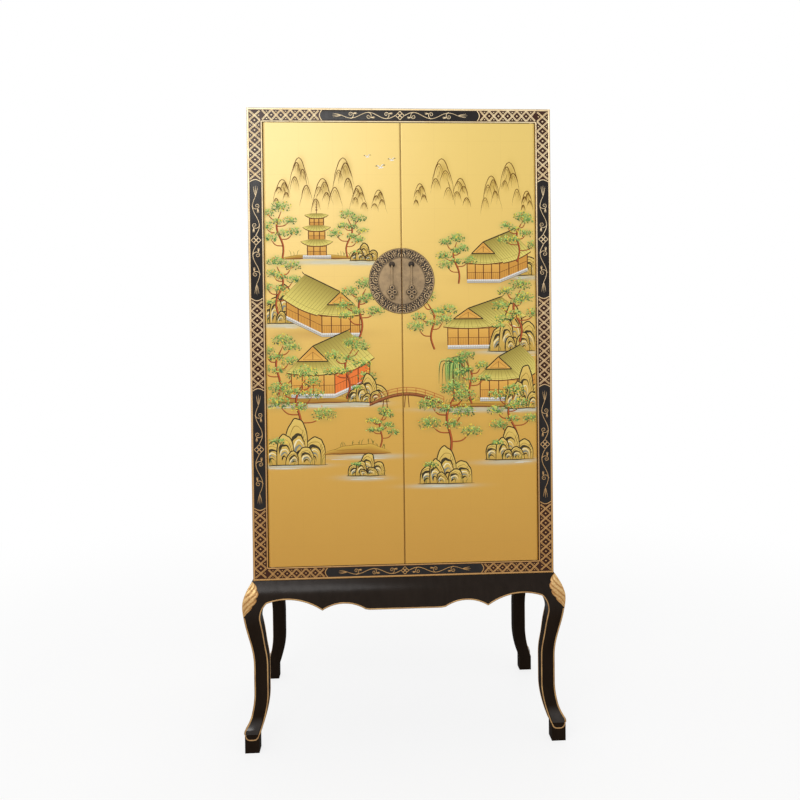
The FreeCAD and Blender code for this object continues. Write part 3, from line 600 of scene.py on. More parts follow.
def stained_wood(axis):
    """Brown-stained board: grain lines drawn out along one axis of the board, darker in the pores."""
    finish = Finish("stained_wood_" + "xyz"[axis])
    place = finish.place()
    along, fine = [14.0, 14.0, 14.0], [120.0, 120.0, 120.0]
    along[axis], fine[axis] = 1.1, 4.0
    figure = finish.noise(finish.stretched(place, along), 3.0, 4.0)
    pores = finish.noise(finish.stretched(place, fine), 4.0, 2.0)
    stops = [(0.3, linear(84, 52, 30)), (0.55, linear(120, 78, 46)), (0.75, linear(98, 62, 36))]
    base = finish.ramp(figure, stops)
    finish.wear(
        Base_Color=finish.blend(finish.between(pores, 0.55, 0.75) * 0.5, base, linear(50, 30, 18)),
        Roughness=(0.45 + pores * 0.2).clamped(),
    )
    finish.bump(pores * 0.6 + figure * 0.4, 0.2, 0.0005)
    return finish.material


def plated_steel():
    """Zinc plate: cool grey with fine mottling."""
    finish = Finish("plated_steel")
    mottle = finish.noise(finish.place(), 180.0, 3.0)
    base = finish.blend(mottle, linear(150, 150, 148), linear(196, 198, 200))
    finish.wear(Base_Color=base, Roughness=(0.28 + mottle * 0.2).clamped(), Metallic=0.9)
    return finish.material


def catch_plastic():
    """Brown moulded plastic with a fine matt grain."""
    finish = Finish("catch_plastic")
    grain = finish.noise(finish.place(), 700.0, 2.0)
    base = finish.blend(grain, linear(66, 46, 34), linear(84, 60, 44))
    finish.wear(Base_Color=base, Roughness=(0.5 + grain * 0.15).clamped())
    finish.bump(grain, 0.2, 0.0003)
    return finish.material


# Polish of a lacquer: two heights, and the gloss below the lower one

SHANK_POLISH = (360.0, 430.0, 0.03)
TOE_POLISH = (76.0, 102.0, 0.70)
BORDER_POLISH = (900.0, 1600.0, 0.22)

STAND_BLACK = (linear(21, 15, 10), linear(40, 30, 22))
CASE_BLACK = (linear(22, 16, 13), linear(42, 33, 27))
BORDER_BROWN = (linear(38, 20, 11), linear(72, 40, 25))
PANEL_BLACK = (linear(18, 15, 14), linear(38, 33, 31))
LINE_GOLD = (linear(250, 234, 194), linear(228, 196, 144), linear(92, 58, 32))
SCROLL_GOLD = (linear(244, 224, 184), linear(206, 176, 130), linear(60, 42, 28))
STAND_GOLD = (linear(206, 164, 104), linear(140, 98, 52), linear(60, 36, 20))
# Painted shade: the colour that the gilt lines and scrolls darken into at the case's foot
PAINTED_FOOT_SHADE = linear(184, 138, 78)

BLACK_LACQUER = lacquer("black_lacquer", *STAND_BLACK, 0.18, 0.20, SHANK_POLISH)
TOE_LACQUER = lacquer("toe_lacquer", *STAND_BLACK, 0.03, 0.20, TOE_POLISH)
CASE_LACQUER = lacquer("case_lacquer", *CASE_BLACK, 0.14, 0.40)
BORDER_LACQUER = lacquer("border_lacquer", *BORDER_BROWN, 0.40, 0.30, BORDER_POLISH)
PANEL_LACQUER = lacquer("panel_lacquer", *PANEL_BLACK, 0.38, 0.26)
GILT = gilt_paint("gilt_line", *LINE_GOLD, PAINTED_FOOT_SHADE)
SCROLL_GILT = gilt_paint("scroll_gilt", *SCROLL_GOLD, PAINTED_FOOT_SHADE)
STAND_GILT = gilt_paint("stand_gilt", *STAND_GOLD)
CARVED_GILT = carved_gilt()
GOLD_LEAF = gold_leaf()
BRUSH_PAINT = brush_paint()
CHASED_BRASS = antique_brass("chased_brass", True)
PLAIN_BRASS = antique_brass("plain_brass", False)
DARK_BRASS = antique_brass("dark_brass", False, -0.10)
STAINED_WOOD = [stained_wood(axis) for axis in range(3)]
PLATED_STEEL = plated_steel()
CATCH_PLASTIC = catch_plastic()

# Finish of the boards themselves: those under gold and border keep a lacquer where these stop

SLOT_FINISH = {
    "gold_leaf": BLACK_LACQUER,
    "gilt_border": CASE_LACQUER,
    "black_lacquer": BLACK_LACQUER,
    "case_lacquer": CASE_LACQUER,
    "antique_brass": PLAIN_BRASS,
    "zinc_steel": PLATED_STEEL,
    "brown_plastic": CATCH_PLASTIC,
}


def board_finish(node, slot):
    """The finish of a slot, or dark brass on the pulls' posts and pins.

    Wood has its grain along the board's longest side.
    """
    if node.endswith(("pull_post", "pull_pin")):
        return DARK_BRASS
    if slot == "inside_wood":
        low, high = box_mm(node)
        return STAINED_WOOD[int(np.argmax(high - low))]
    return SLOT_FINISH[slot]


def dress_boards():
    """Gives each board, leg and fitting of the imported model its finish."""
    for row in frame["record"]["subparts"]:
        mesh = frame["nodes"][row["node"]].data
        mesh.materials.clear()
        mesh.materials.append(board_finish(row["node"], row["material_slot"]))


# Border


class Border:
    """Lattice, cartouches and gilt lines of the border round one face of the case.

    half is half the face's width, and foot and head are its heights.
    """

    def __init__(self, face, half, foot, head, name):
        self.face, self.half, self.foot, self.head, self.name = face, half, foot, head, name
        self.gilt, self.fine_gilt, self.panels = Shell(), Shell(), Shell()

    def bead(self, shell, flat, half_width, height, proud=0.0, across=5):
        path = self.face.place(flat, proud)
        shell.add(beads(path, self.face.outward, half_width, height, across))

    def lattice(self, low, high, pitch=LATTICE_PITCH):
        """Crossed twin lines with a stud in each diamond, in a strip between two flat corners.

        The strip's length is divided into equal cells near the pitch. Each cell holds an X whose lines are
        doubled to either hand and cut at the strip's ends, and each diamond or half diamond between them
        holds a stud.
        """
        low, high = np.array(low, float), np.array(high, float)
        long = int(np.argmax(high - low))
        length, width = (high - low)[long], (high - low)[1 - long]
        count = max(1, round(length / pitch))
        cell = length / count
        start = np.arange(count) * cell
        zero = np.zeros(count)
        scale = pitch / LATTICE_PITCH

        def strip(u, v):
            """Points at u along and v across the strip."""
            pair = [u, v] if long == 0 else [v, u]
            return np.stack(pair, -1) + low

        apart = LATTICE_TWIN * math.hypot(cell, width) / width
        for begin in (start - apart, start + apart):
            first, last = np.clip(-begin / cell, 0, 1), np.clip((length - begin) / cell, 0, 1)
            near, far = begin + first * cell, begin + last * cell
            rising = segments(strip(near, first * width), strip(far, last * width))
            falling = segments(strip(near, (1 - first) * width), strip(far, (1 - last) * width))
            self.bead(self.gilt, np.concatenate([rising, falling]), LATTICE_LINE, LATTICE_HEIGHT)
        middles = np.arange(1, count) * cell
        self.studs(strip(middles, np.full(count - 1, width / 2)), DIAMOND_STUD * scale)
        for edge in (EDGE_STUD_INSET, width - EDGE_STUD_INSET):
            self.studs(strip(start + cell / 2, zero + edge), EDGE_STUD * scale)

    def studs(self, centre, half):
        """Small lozenges at centres: short beads whose half width runs from nothing to half and back."""
        paths = segments(centre - [half, 0], centre + [half, 0], len(STUD_TAPER))
        self.bead(self.gilt, paths, half * STUD_TAPER, STUD_HEIGHT)

    @staticmethod
    def lozenge(flat, u, v, half):
        """Outline of a small diamond about (u, v), as four straight paths."""
        corners = [flat(u + half, v), flat(u, v + half), flat(u - half, v), flat(u, v - half)]
        return segments(corners, corners[1:] + corners[:1])

    def cartouche(self, low, high):
        """A black panel with bracket ends, its gilt end lines, and a vine about a lozenge of four.

        At v across the panel, from -1 to 1, its half length is less by the point's size times |v| to the
        power 1.7, and its lift falls to nothing as v to the power 16.
        """
        low, high = np.array(low, float), np.array(high, float)
        middle, size = (low + high) / 2, (high - low) / 2
        long = int(np.argmax(size))
        half_length, half_width = size[long], size[1 - long]

        def flat(u, v):
            """Points at u along and v across the panel, from its middle."""
            pair = [u, v] if long == 0 else [v, u]
            return np.stack(np.broadcast_arrays(*pair), -1) + middle

        v = np.linspace(-1, 1, 15)
        reach = half_length - CARTOUCHE_POINT * np.abs(v) ** 1.7
        u = np.linspace(-1, 1, 25)[:, None] * reach
        grid = flat(u, np.broadcast_to(v * half_width, u.shape))
        if long == 1:
            grid = grid[::-1]
        self.panels.add(self.face.place(grid, CARTOUCHE_LIFT * (1 - (v * v) ** 8)))
        ends = np.stack([flat(side * (reach + END_LINE_HALF), v * half_width) for side in (1, -1)])
        self.bead(self.gilt, ends, END_LINE_HALF, END_LINE_HEIGHT)
        self.vine(flat, half_length, half_width)

    def scroll(self, flat, half_width, height):
        """A fine bead that lies on a cartouche's panel."""
        self.bead(self.fine_gilt, flat, half_width, height, CARTOUCHE_LIFT, 3)

    def vine(self, flat, half_length, half_width):
        """Two mirrored wavy stems from a lozenge of four, with a curl and a leaf in each hollow.

        A stem swings as a sine of its length and ends in whiskers. A curl leaves the crest and turns about
        the hollow, on a radius that drops fast at first and then slowly.
        """
        start = 0.92 * half_width
        reach = 0.73 * half_length - start
        count = max(1, round(reach / VINE_WAVE))
        t = np.linspace(0, 1, 60)
        turn = np.linspace(0, 1, 34)
        radius = half_width * (0.50 * (1 - 0.80 * turn) + 0.36 * np.clip(1 - 4 * turn, 0, 1) ** 1.5)
        angle = turn * 2 * math.pi * 1.5 + math.pi / 2
        for side in (1, -1):
            swing = 0.64 * half_width * np.sin(t * count * math.pi) * (1 - 0.2 * t)
            self.scroll(flat(side * (start + reach * t), side * swing), 1.25 - 0.35 * t, VINE_HEIGHT)
            for k in range(count):
                at = start + reach * (k + 0.5) / count
                hollow = -side if k % 2 == 0 else side
                across = hollow * (0.22 * half_width - radius * np.sin(angle))
                curl = flat(side * (at + radius * np.cos(angle)), across)
                self.scroll(curl, 1.15 - 0.4 * turn, VINE_HEIGHT)
                leaf = (side * (at - 0.5 * half_width), hollow * 0.4 * half_width)
                self.tuft(flat, leaf, -side, 0.8 * half_width, 0.9)
            self.tuft(flat, (side * (start + reach), 0.0), side, 1.9 * half_width, 0.75)
        step = 0.44 * half_width
        for du, dv in ((1, 0), (-1, 0), (0, 1), (0, -1)):
            small = self.lozenge(flat, du * step, dv * step, 0.92 * step)
            self.scroll(small, LOZENGE_LINE, LOZENGE_HEIGHT)

    def tuft(self, flat, root, side, long, stout):
        """Three strokes that fan out along the vine: long is their reach and stout their half width."""
        t = np.linspace(0, 1, 9)
        du = side * long * t * np.cos(TUFT_FAN)
        dv = long * (0.7 * t * np.sin(TUFT_FAN) - 0.22 * TUFT_FAN * t**2)
        width = np.broadcast_to(0.3 + stout * np.sin(math.pi * t**0.7), du.shape)
        self.scroll(flat(root[0] + du, root[1] + dv), width, TUFT_HEIGHT)

    def straight(self, start, end, width):
        path = segments(np.array([start], float), np.array([end], float))
        self.bead(self.gilt, path, width / 2, LINE_HEIGHT)

    def lines(self):
        """The broad gilt band round the outside and the fine line round the inside of the border."""
        outer = self.half - OUTER_BAND / 2
        foot, head = self.foot + OUTER_BAND / 2, self.head - OUTER_BAND / 2
        inner = self.half - STILE_WIDTH + INNER_LINE / 2
        sill, lintel = self.foot + BOTTOM_RAIL - INNER_LINE / 2, self.head - TOP_RAIL + INNER_LINE / 2
        for side in (1, -1):
            self.straight((side * outer, self.foot), (side * outer, self.head), OUTER_BAND)
            self.straight((side * inner, sill), (side * inner, lintel), INNER_LINE)
        for z in (foot, head):
            self.straight((-self.half, z), (self.half, z), OUTER_BAND)
        for z in (sill, lintel):
            self.straight((-inner, z), (inner, z), INNER_LINE)

    def strips(self, rail_half, stile_spans):
        """Lattice and cartouches by turns along the stiles and rails.

        rail_half is half the length of a rail's cartouche, and stile_spans are the heights of the stiles'.
        """
        out, gap = self.half - OUTER_BAND, INNER_LINE + LATTICE_GAP
        inner = self.half - STILE_WIDTH + gap
        marks = [self.foot + OUTER_BAND, *[z for span in stile_spans for z in span], self.head - OUTER_BAND]
        for side in (1, -1):
            low, high = sorted((side * inner, side * out))
            for i, (z0, z1) in enumerate(zip(marks, marks[1:])):
                if i % 2:
                    self.cartouche((low, z0), (high, z1))
                else:
                    self.lattice((low, z0 + STILE_LATTICE_INSET), (high, z1 - STILE_LATTICE_INSET))
        rails = (
            (self.foot + OUTER_BAND, self.foot + BOTTOM_RAIL - gap, FOOT_LATTICE_PITCH),
            (self.head - TOP_RAIL + gap, self.head - OUTER_BAND, LATTICE_PITCH),
        )
        for z0, z1, pitch in rails:
            self.cartouche((-rail_half, z0), (rail_half, z1))
            for side in (1, -1):
                low, high = sorted((side * (rail_half + RAIL_LATTICE_INSET), side * (inner - gap)))
                self.lattice((low, z0), (high, z1), pitch)

    def make(self):
        self.gilt.make(self.name + "_lattice", GILT, "cabinet", "gilt_border")
        self.fine_gilt.make(self.name + "_scrolls", SCROLL_GILT, "cabinet", "gilt_border")
        self.panels.make(self.name + "_cartouches", PANEL_LACQUER, "cabinet", "gilt_border")


def make_borders():
    """Border and dark ground of each shown face, and the gilt on the door opening's edges."""
    faces = (
        (FRONT_FACE, CASE_HALF, FRONT_RAIL_CARTOUCHE_HALF, "front"),
        (LEFT_FACE, DEPTH_HALF, SIDE_RAIL_CARTOUCHE_HALF, "left"),
        (RIGHT_FACE, DEPTH_HALF, SIDE_RAIL_CARTOUCHE_HALF, "right"),
    )
    for face, half, rail_half, name in faces:
        border = Border(face, half, CASE_FOOT, CASE_HEAD, name)
        border.lines()
        border.strips(rail_half, STILE_CARTOUCHES)
        border.make()
        make_border_ground(face, half, name)
    make_reveals()


def make_reveals():
    """Gilt on the inner edges of the front stiles and rails: narrow flat strips that face the doors."""
    edge, sill, lintel = CASE_HALF - STILE_WIDTH, CASE_FOOT + BOTTOM_RAIL, CASE_HEAD - TOP_RAIL
    depth = np.array([CASE_FRONT, CASE_FRONT + REVEAL_DEPTH])
    gilt = Shell()
    for side in (-1, 1):
        x = side * (edge - GROUND_LIFT)
        grid = np.stack(np.meshgrid(x, depth, np.linspace(sill, lintel, 40), indexing="ij"), -1)[0]
        gilt.add(grid if side < 0 else grid[::-1])
    for z, top in ((lintel - GROUND_LIFT, True), (sill + GROUND_LIFT, False)):
        grid = np.stack(np.meshgrid(depth, np.linspace(-edge, edge, 30), z, indexing="ij"), -1)[:, :, 0]
        grid = grid[..., [1, 0, 2]]
        gilt.add(grid if top else grid[::-1])
    gilt.make("front_reveals", GILT, "cabinet", "gilt_border", smooth=False)


def flat_sheet(face, low, high, step, proud):
    """A flat grid between two corners of a face, with cells near the step."""
    counts = [max(2, int((b - a) / step) + 1) for a, b in zip(low, high)]
    along, up = (np.linspace(a, b, n) for a, b, n in zip(low, high, counts))
    flat = np.stack(np.meshgrid(along, up, indexing="ij"), -1)
    return flat, face.place(flat, proud)


def make_border_ground(face, half, name):
    """The dark ground under a border, as four strips round the face's gold."""
    ground = Shell()
    inner = half - STILE_WIDTH
    sill, lintel = CASE_FOOT + BOTTOM_RAIL, CASE_HEAD - TOP_RAIL
    for low, high in (
        ((-half, CASE_FOOT), (-inner, CASE_HEAD)),
        ((inner, CASE_FOOT), (half, CASE_HEAD)),
        ((-inner, CASE_FOOT), (inner, sill)),
        ((-inner, lintel), (inner, CASE_HEAD)),
    ):
        ground.add(flat_sheet(face, low, high, GROUND_CELL, GROUND_LIFT)[1])
    ground.make(name + "_border_ground", BORDER_LACQUER, "cabinet", "gilt_border")


# Stand


def leg_reach(z):
    """How far the outer face of legs and aprons stands out from the case at each height, as in the solids.

    A quarter sine runs from the case's foot to the knee and half a cosine from there to the waist, and the
    foot flares as a power of the way down.
    """
    z = np.asarray(z, float)
    knee = CASE_FOOT - KNEE_DROP
    quarter = (CASE_FOOT - z) / KNEE_DROP * math.pi / 2
    upper = LEG_TOP_REACH + (KNEE_REACH - LEG_TOP_REACH) * np.sin(quarter)
    fall = np.clip((knee - z) / (knee - WAIST_TOP), 0, 1)
    shin = KNEE_REACH + (WAIST_REACH - KNEE_REACH) * (1 - np.cos(fall * math.pi)) / 2
    flare = np.clip((WAIST_BOTTOM - z) / (WAIST_BOTTOM - FOOT_HEIGHT), 0, 1)
    foot = (FOOT_REACH - WAIST_REACH) * flare**FOOT_FLARE_POWER
    return np.where(z >= knee, upper, shin + foot)


def leg_width(z):
    """Width of a leg's face: the shank's, and more at the shoulder under the knee, eased by a cosine."""
    foot, head = CASE_FOOT - SHOULDER_FOOT_DROP, CASE_FOOT - SHOULDER_TOP_DROP
    share = np.clip((np.asarray(z, float) - foot) / (head - foot), 0, 1)
    return LEG_WIDTH + SHOULDER * (1 - np.cos(share * math.pi)) / 2


def stand_outward(z):
    """Outward normal of the stand's face at each height, as (outwards, down), taken over a millimetre."""
    slope = leg_reach(z + 0.5) - leg_reach(z - 0.5)
    return unit(np.stack([np.ones_like(slope), slope], -1))


FOOT_LINE_HEIGHT = FOOT_HEIGHT + 4.0


def under_edge(half, arch_span, lobes):
    """The lower edge of one half of the stand seen from the front, as (distance from the middle, height).

    It goes up the leg's inner edge, round the arch, past the cusp and the lobe, and along to the middle.
    """
    top = CASE_FOOT
    post = half - LEG_WIDTH
    heights = np.linspace(FOOT_LINE_HEIGHT, top - FLARE_DROP, 60)
    leg = np.stack([half + leg_reach(heights) - leg_width(heights), heights], -1)
    bend_reach = leg[-1, 0] - FLARE_BEND_IN * (leg[-1, 0] - post)
    bend = (bend_reach, top - FLARE_DROP + FLARE_BEND_UP * (FLARE_DROP - SPRING_DROP))
    spring, arch = (post, top - SPRING_DROP), (post - ARCH_FROM_LEG, top - ARCH_DROP)
    cusp = (post - arch_span, top - CUSP_DROP)
    runs = [leg, arc_points(leg[-1], bend, spring, 14)[1:], arc_points(spring, arch, cusp, 36)[1:]]
    if lobes:
        last = (cusp[0] - LOBE_SPAN, top - CUSP_DROP)
        runs.append(arc_points(cusp, ((cusp[0] + last[0]) / 2, top - LOBE_DROP), last, 26)[1:])
        cusp = last
    flat = (cusp[0] - OGEE_RUN, top - APRON_DROP)
    runs.append(segments(cusp, flat, 4)[1:])
    runs.append(segments(flat, (0, top - APRON_DROP), 12)[1:])
    return np.concatenate(runs)


def inset(path, distance):
    """A flat path moved sideways to its right hand by a distance."""
    ahead = unit(np.gradient(path, axis=0))
    return path + distance * np.stack([ahead[:, 1], -ahead[:, 0]], -1)


def on_stand(flat, depth, side, toward, sideways):
    """Places (distance from the middle, height) points on a face of the stand, with their outward normals.

    depth is half the case's size through that face. side is the sign across the face and toward the sign
    of its outward direction; sideways swaps X and Y.
    """
    z = flat[..., 1]
    out = toward * (depth + leg_reach(z))
    across = side * flat[..., 0]
    normal = stand_outward(z)
    outward, up = toward * normal[..., 0], -normal[..., 1]
    zero = np.zeros_like(z)
    if sideways:
        return np.stack([out, across, z], -1), np.stack([outward, zero, up], -1)
    return np.stack([across, out, z], -1), np.stack([zero, outward, up], -1)


TOE_TOP = 104.0
TOE_LIP = 66.0
TOE_FOOT = 53.0
TOE_BULGE = 7.0
TOE_POWER = 1.9
TOE_SPAN = 36.0
TOE_SINK = 0.1
OUTER_LINE_DROP = 100.0
INNER_LINE_DROP = 4.0
DIP_INSET = 1.0


def toe_swell(z):
    """How far a toe stands out from the leg at each height.

    It grows as a power of the way down to the lip, and below the lip a quarter round brings it back.
    """
    swell = np.clip((TOE_TOP - z) / (TOE_TOP - TOE_LIP), 0, 1) ** TOE_POWER
    under = np.sqrt(1 - np.clip((TOE_LIP - z) / (TOE_LIP - TOE_FOOT), 0, 1) ** 2)
    return TOE_BULGE * swell * under


def make_stand_lines():
    """Gilt lines along the aprons' lower edge and the legs' edges, and the dipped line on each foot.

    Across a foot, s from -1 to 1, the line hangs by its dip times 1 - s to the fourth. The front legs'
    inner faces have one line each, along their back edge.
    """
    lines = Shell()
    heights = np.linspace(FOOT_LINE_HEIGHT, CASE_FOOT - OUTER_LINE_DROP, 70)
    swell = toe_swell(heights)
    s = np.linspace(-1, 1, 15)
    side_span = DEPTH_HALF - LEG_WIDTH - SIDE_APRON_FLAT_HALF - OGEE_RUN
    faces = (
        (CASE_HALF, DEPTH_HALF, ARCH_SPAN, True, False),
        (DEPTH_HALF, CASE_HALF, side_span, False, True),
    )
    for half, depth, span, lobes, sideways in faces:
        under = inset(under_edge(half, span, lobes), EDGE_LINE_INSET)
        outer = np.stack([half + leg_reach(heights) + swell - EDGE_LINE_INSET, heights], -1)
        across = half + FOOT_REACH - LEG_WIDTH / 2 + s * (LEG_WIDTH / 2 - DIP_INSET)
        dip = np.stack([across, FOOT_LINE_HEIGHT - FOOT_DIP * (1 - s**4)], -1)
        for side, toward in FOUR_CORNERS:
            for flat, push in ((under, 0.0), (outer, swell), (dip, 0.0)):
                path, outward = on_stand(flat, depth, side, toward, sideways)
                path[:, 0 if sideways else 1] += toward * push
                lines.add(beads(path, outward, EDGE_LINE_HALF, EDGE_LINE_HEIGHT))
    z = np.linspace(FOOT_LINE_HEIGHT, CASE_FOOT - FLARE_DROP - INNER_LINE_DROP, 60)
    step = leg_reach(z) - leg_width(z)
    slope = np.gradient(step, z)
    zero = np.zeros_like(z)
    for side in (1, -1):
        path = np.stack([side * (CASE_HALF + step), -(DEPTH_HALF + step) - EDGE_LINE_INSET, z], -1)
        inward = unit(np.stack([-side + zero, zero, slope], -1))
        lines.add(beads(path, inward, EDGE_LINE_HALF, EDGE_LINE_HEIGHT))
    lines.make("stand_gilt_lines", STAND_GILT, "cabinet", "black_lacquer")


def make_toes():
    """Rounded toes on the feet: the leg's two outer faces pushed out, so that their corner moves too.

    Across a face, s runs from 0 at the inner end to 1 at the corner, and the push falls off as 1 - (1 - s)
    to the fourth.
    """
    toes = Shell()
    z = np.linspace(TOE_TOP, TOE_FOOT, 40)[:, None]
    s = np.linspace(0, 1, 25)[None, :]
    push = toe_swell(z) * (1 - (1 - s) ** 4) - TOE_SINK
    for half, depth, sideways in ((CASE_HALF, DEPTH_HALF, False), (DEPTH_HALF, CASE_HALF, True)):
        across = half + leg_reach(z) - TOE_SPAN * (1 - s) + toe_swell(z) * s
        flat = np.stack([across, z + 0 * s], -1)
        for side, toward in FOUR_CORNERS:
            grid = on_stand(flat, depth, side, toward, sideways)[0]
            grid[..., 0 if sideways else 1] += toward * push
            turned_over = (side * toward > 0) != sideways
            toes.add(grid[:, ::-1] if turned_over else grid)
    toes.make("toes", TOE_LACQUER, "cabinet", "black_lacquer")


LEAF_TOP_DROP = 1.0
LEAF_LENGTH = 98.0
LEAF_WIDTH = 40.0
LEAF_TAPER = 0.85
LEAF_BODY = 1.1
LEAF_RELIEF = 1.9
LEAF_SINK = 0.25
LEAF_RIB = 0.10
LEAF_CORNER = 0.16
FROND_COUNT = 4.5
FROND_SWEEP = 2.0
FROND_ROUND = 0.6


def make_knee_leaves():
    """Carved gilt leaves that wrap each knee's corner.

    At t down the leaf its width on each face is a sine of t to the power 0.85, scalloped by the fronds; w
    runs across from one face round the corner to the other. The fronds are rounded ridges, |sin| to the
    power 0.6 of a phase that grows across and down, so that they sweep up from a rib on the corner with
    sharp grooves between.
    """
    leaves = Shell()
    t = np.linspace(0, 1, 90)[:, None]
    w = np.linspace(-1, 1, 81)[None, :]

    def fronds(across):
        return np.abs(np.sin(math.pi * (FROND_SWEEP * across + FROND_COUNT * t))) ** FROND_ROUND

    z = CASE_FOOT - LEAF_TOP_DROP - LEAF_LENGTH * t + 0 * w
    scallop = 0.87 + 0.13 * fronds(1.0)
    width = LEAF_WIDTH * np.sin(math.pi * np.clip(t, 0.004, 0.996) ** LEAF_TAPER) * scallop
    edge = 1 - np.abs(w) ** 10
    carved = np.maximum(fronds(np.abs(w)) * (0.95 - 0.4 * t), bell(w, LEAF_RIB) * (0.8 - 0.4 * t))
    swell = np.sin(math.pi * np.clip(t, 0.02, 0.98)) ** 0.4
    height = swell * (LEAF_BODY + LEAF_RELIEF * carved) * edge - LEAF_SINK
    run = np.abs(w) * width
    blend = np.clip(w / LEAF_CORNER, -1, 1)
    reach = leg_reach(z)
    out_x, out_y = (1 + blend) / 2, (1 - blend) / 2
    norm = np.sqrt(out_x**2 + out_y**2)
    x = CASE_HALF + reach - np.where(w < 0, run, 0) + height * out_x / norm
    y = DEPTH_HALF + reach - np.where(w > 0, run, 0) + height * out_y / norm
    tone = grey(np.clip(0.2 + 0.72 * carved * edge, 0, 1))
    for sx, sy in FOUR_CORNERS:
        grid = np.stack([sx * x, sy * y, z], -1)
        turned_over = sx * sy > 0
        leaves.add(grid[:, ::-1] if turned_over else grid, tone[:, ::-1] if turned_over else tone)
    leaves.make("knee_leaves", CARVED_GILT, "cabinet", "black_lacquer")


# Lock plate and pulls

PLATE_RADIUS = (PLATE_HIGH[2] - PLATE_LOW[2]) / 2
PLATE_MIDDLE_Z = (PLATE_HIGH[2] + PLATE_LOW[2]) / 2
PLATE_SEAM = -PLATE_HIGH[0]
PLATE_RIM = 0.4
PLATE_FLOOR = 2.0
PLATE_RELIEF = 1.9
PLATE_TONE = 0.60
RING_INNER = 69.0
RING_EASE = 1.5
CURL_SEED = 5
CURL_ROWS = ((76.4, 15, 0.0), (88.4, 18, 0.5))
CURL_PITCH = 0.95
CURL_GROOVE = 1.3
CORD_TWISTS = 150
FLOWER_COUNT = 12
FLOWER_RING = 83.0
FLOWER_RADIUS = 9.5
FLOWER_EYE = 0.36
FLOWER_GROOVE = 1.4
KNUCKLE_RADIUS = 4.2
PULL_X = -(PULL_LOW[0] + PULL_HIGH[0]) / 2
PULL_PIN_Z = PULL_HIGH[2] - KNUCKLE_RADIUS
PULL_PIN_Y = (PULL_LOW[1] + PULL_HIGH[1]) / 2


def curl_places():
    """Middles and phases of the chased curls, in two staggered rows round the ring, a little uneven."""
    rng = np.random.default_rng(CURL_SEED)
    rows = []
    for radius, count, start in CURL_ROWS:
        angle = (np.arange(count) + start + rng.uniform(-0.22, 0.22, count)) * 2 * math.pi / count
        far = radius + rng.uniform(-1.4, 1.4, count)
        phase = rng.uniform(0, 2 * math.pi, count)
        rows.append(np.stack([far * np.cos(angle), far * np.sin(angle), phase], -1))
    return np.concatenate(rows)


def plate_height(x, z):
    """Chased height over the plate: a plain middle, two cords, and a ring of curls with flowers among them.

    Each point belongs to the nearest curl and takes a spiral wave, cosine of (angle + pitch times
    distance), about its middle, with a groove where two curls meet. The inner cord is a bell across,
    twisted by a cosine of the angle, and the outer one a plain bell. The second result is 1 inside the
    ring and 0 outside it.
    """
    radius, angle = np.hypot(x, z), np.arctan2(z, x)
    places = curl_places()
    dx, dz = x[..., None] - places[:, 0], z[..., None] - places[:, 1]
    order = np.argsort(np.hypot(dx, dz), -1)[..., :2]
    dx, dz = (np.take_along_axis(d, order, -1) for d in (dx, dz))
    near, next_near = np.moveaxis(np.hypot(dx, dz), -1, 0)
    hand = np.where(order[..., 0] % 2 == 0, 1.0, -1.0)
    phase = places[order[..., 0], 2]
    spiral = np.cos(hand * np.arctan2(dz[..., 0], dx[..., 0]) + CURL_PITCH * near + phase)
    groove = bell(next_near - near, CURL_GROOVE)
    inside, outside = radius - RING_INNER - 2, PLATE_RADIUS - 3 - radius
    in_ring = np.clip(inside / RING_EASE, 0, 1) * np.clip(outside / RING_EASE, 0, 1)
    cords = bell(radius - RING_INNER - 0.6, 1.1) * (0.75 + 0.25 * np.cos(angle * CORD_TWISTS))
    cords = np.maximum(cords, bell(radius - PLATE_RADIUS + 2.4, 1.3))
    relief = in_ring * np.clip(0.44 + 0.66 * np.clip(1.6 * spiral, -1, 1) - 0.7 * groove, 0, 1)
    relief = flowers(x, z, relief)
    return np.maximum(relief, cords), in_ring


def flowers(x, z, relief):
    """Sets five-petalled flowers round the ring into a chased height.

    A flower's edge lies at its radius times 0.8 + 0.2 cos(5 angle). A ring round its eye and a groove round
    its edge are cut into it.
    """
    at = (np.arange(FLOWER_COUNT) + 0.5) * 2 * math.pi / FLOWER_COUNT
    dx, dz = x[..., None] - FLOWER_RING * np.cos(at), z[..., None] - FLOWER_RING * np.sin(at)
    nearest = np.argmin(np.hypot(dx, dz), -1)[..., None]
    dx, dz = (np.take_along_axis(d, nearest, -1)[..., 0] for d in (dx, dz))
    far, turn = np.hypot(dx, dz), np.arctan2(dz, dx) - at[nearest[..., 0]]
    edge = FLOWER_RADIUS * (0.8 + 0.2 * np.cos(5 * turn))
    eye = np.clip(np.abs(far - FLOWER_EYE * FLOWER_RADIUS) / 1.1, 0.25, 1)
    petal = np.clip((edge - far) / 1.2, 0, 1) * eye
    return np.where(far < edge + FLOWER_GROOVE, petal * (1 - 0.35 * far / FLOWER_RADIUS), relief)


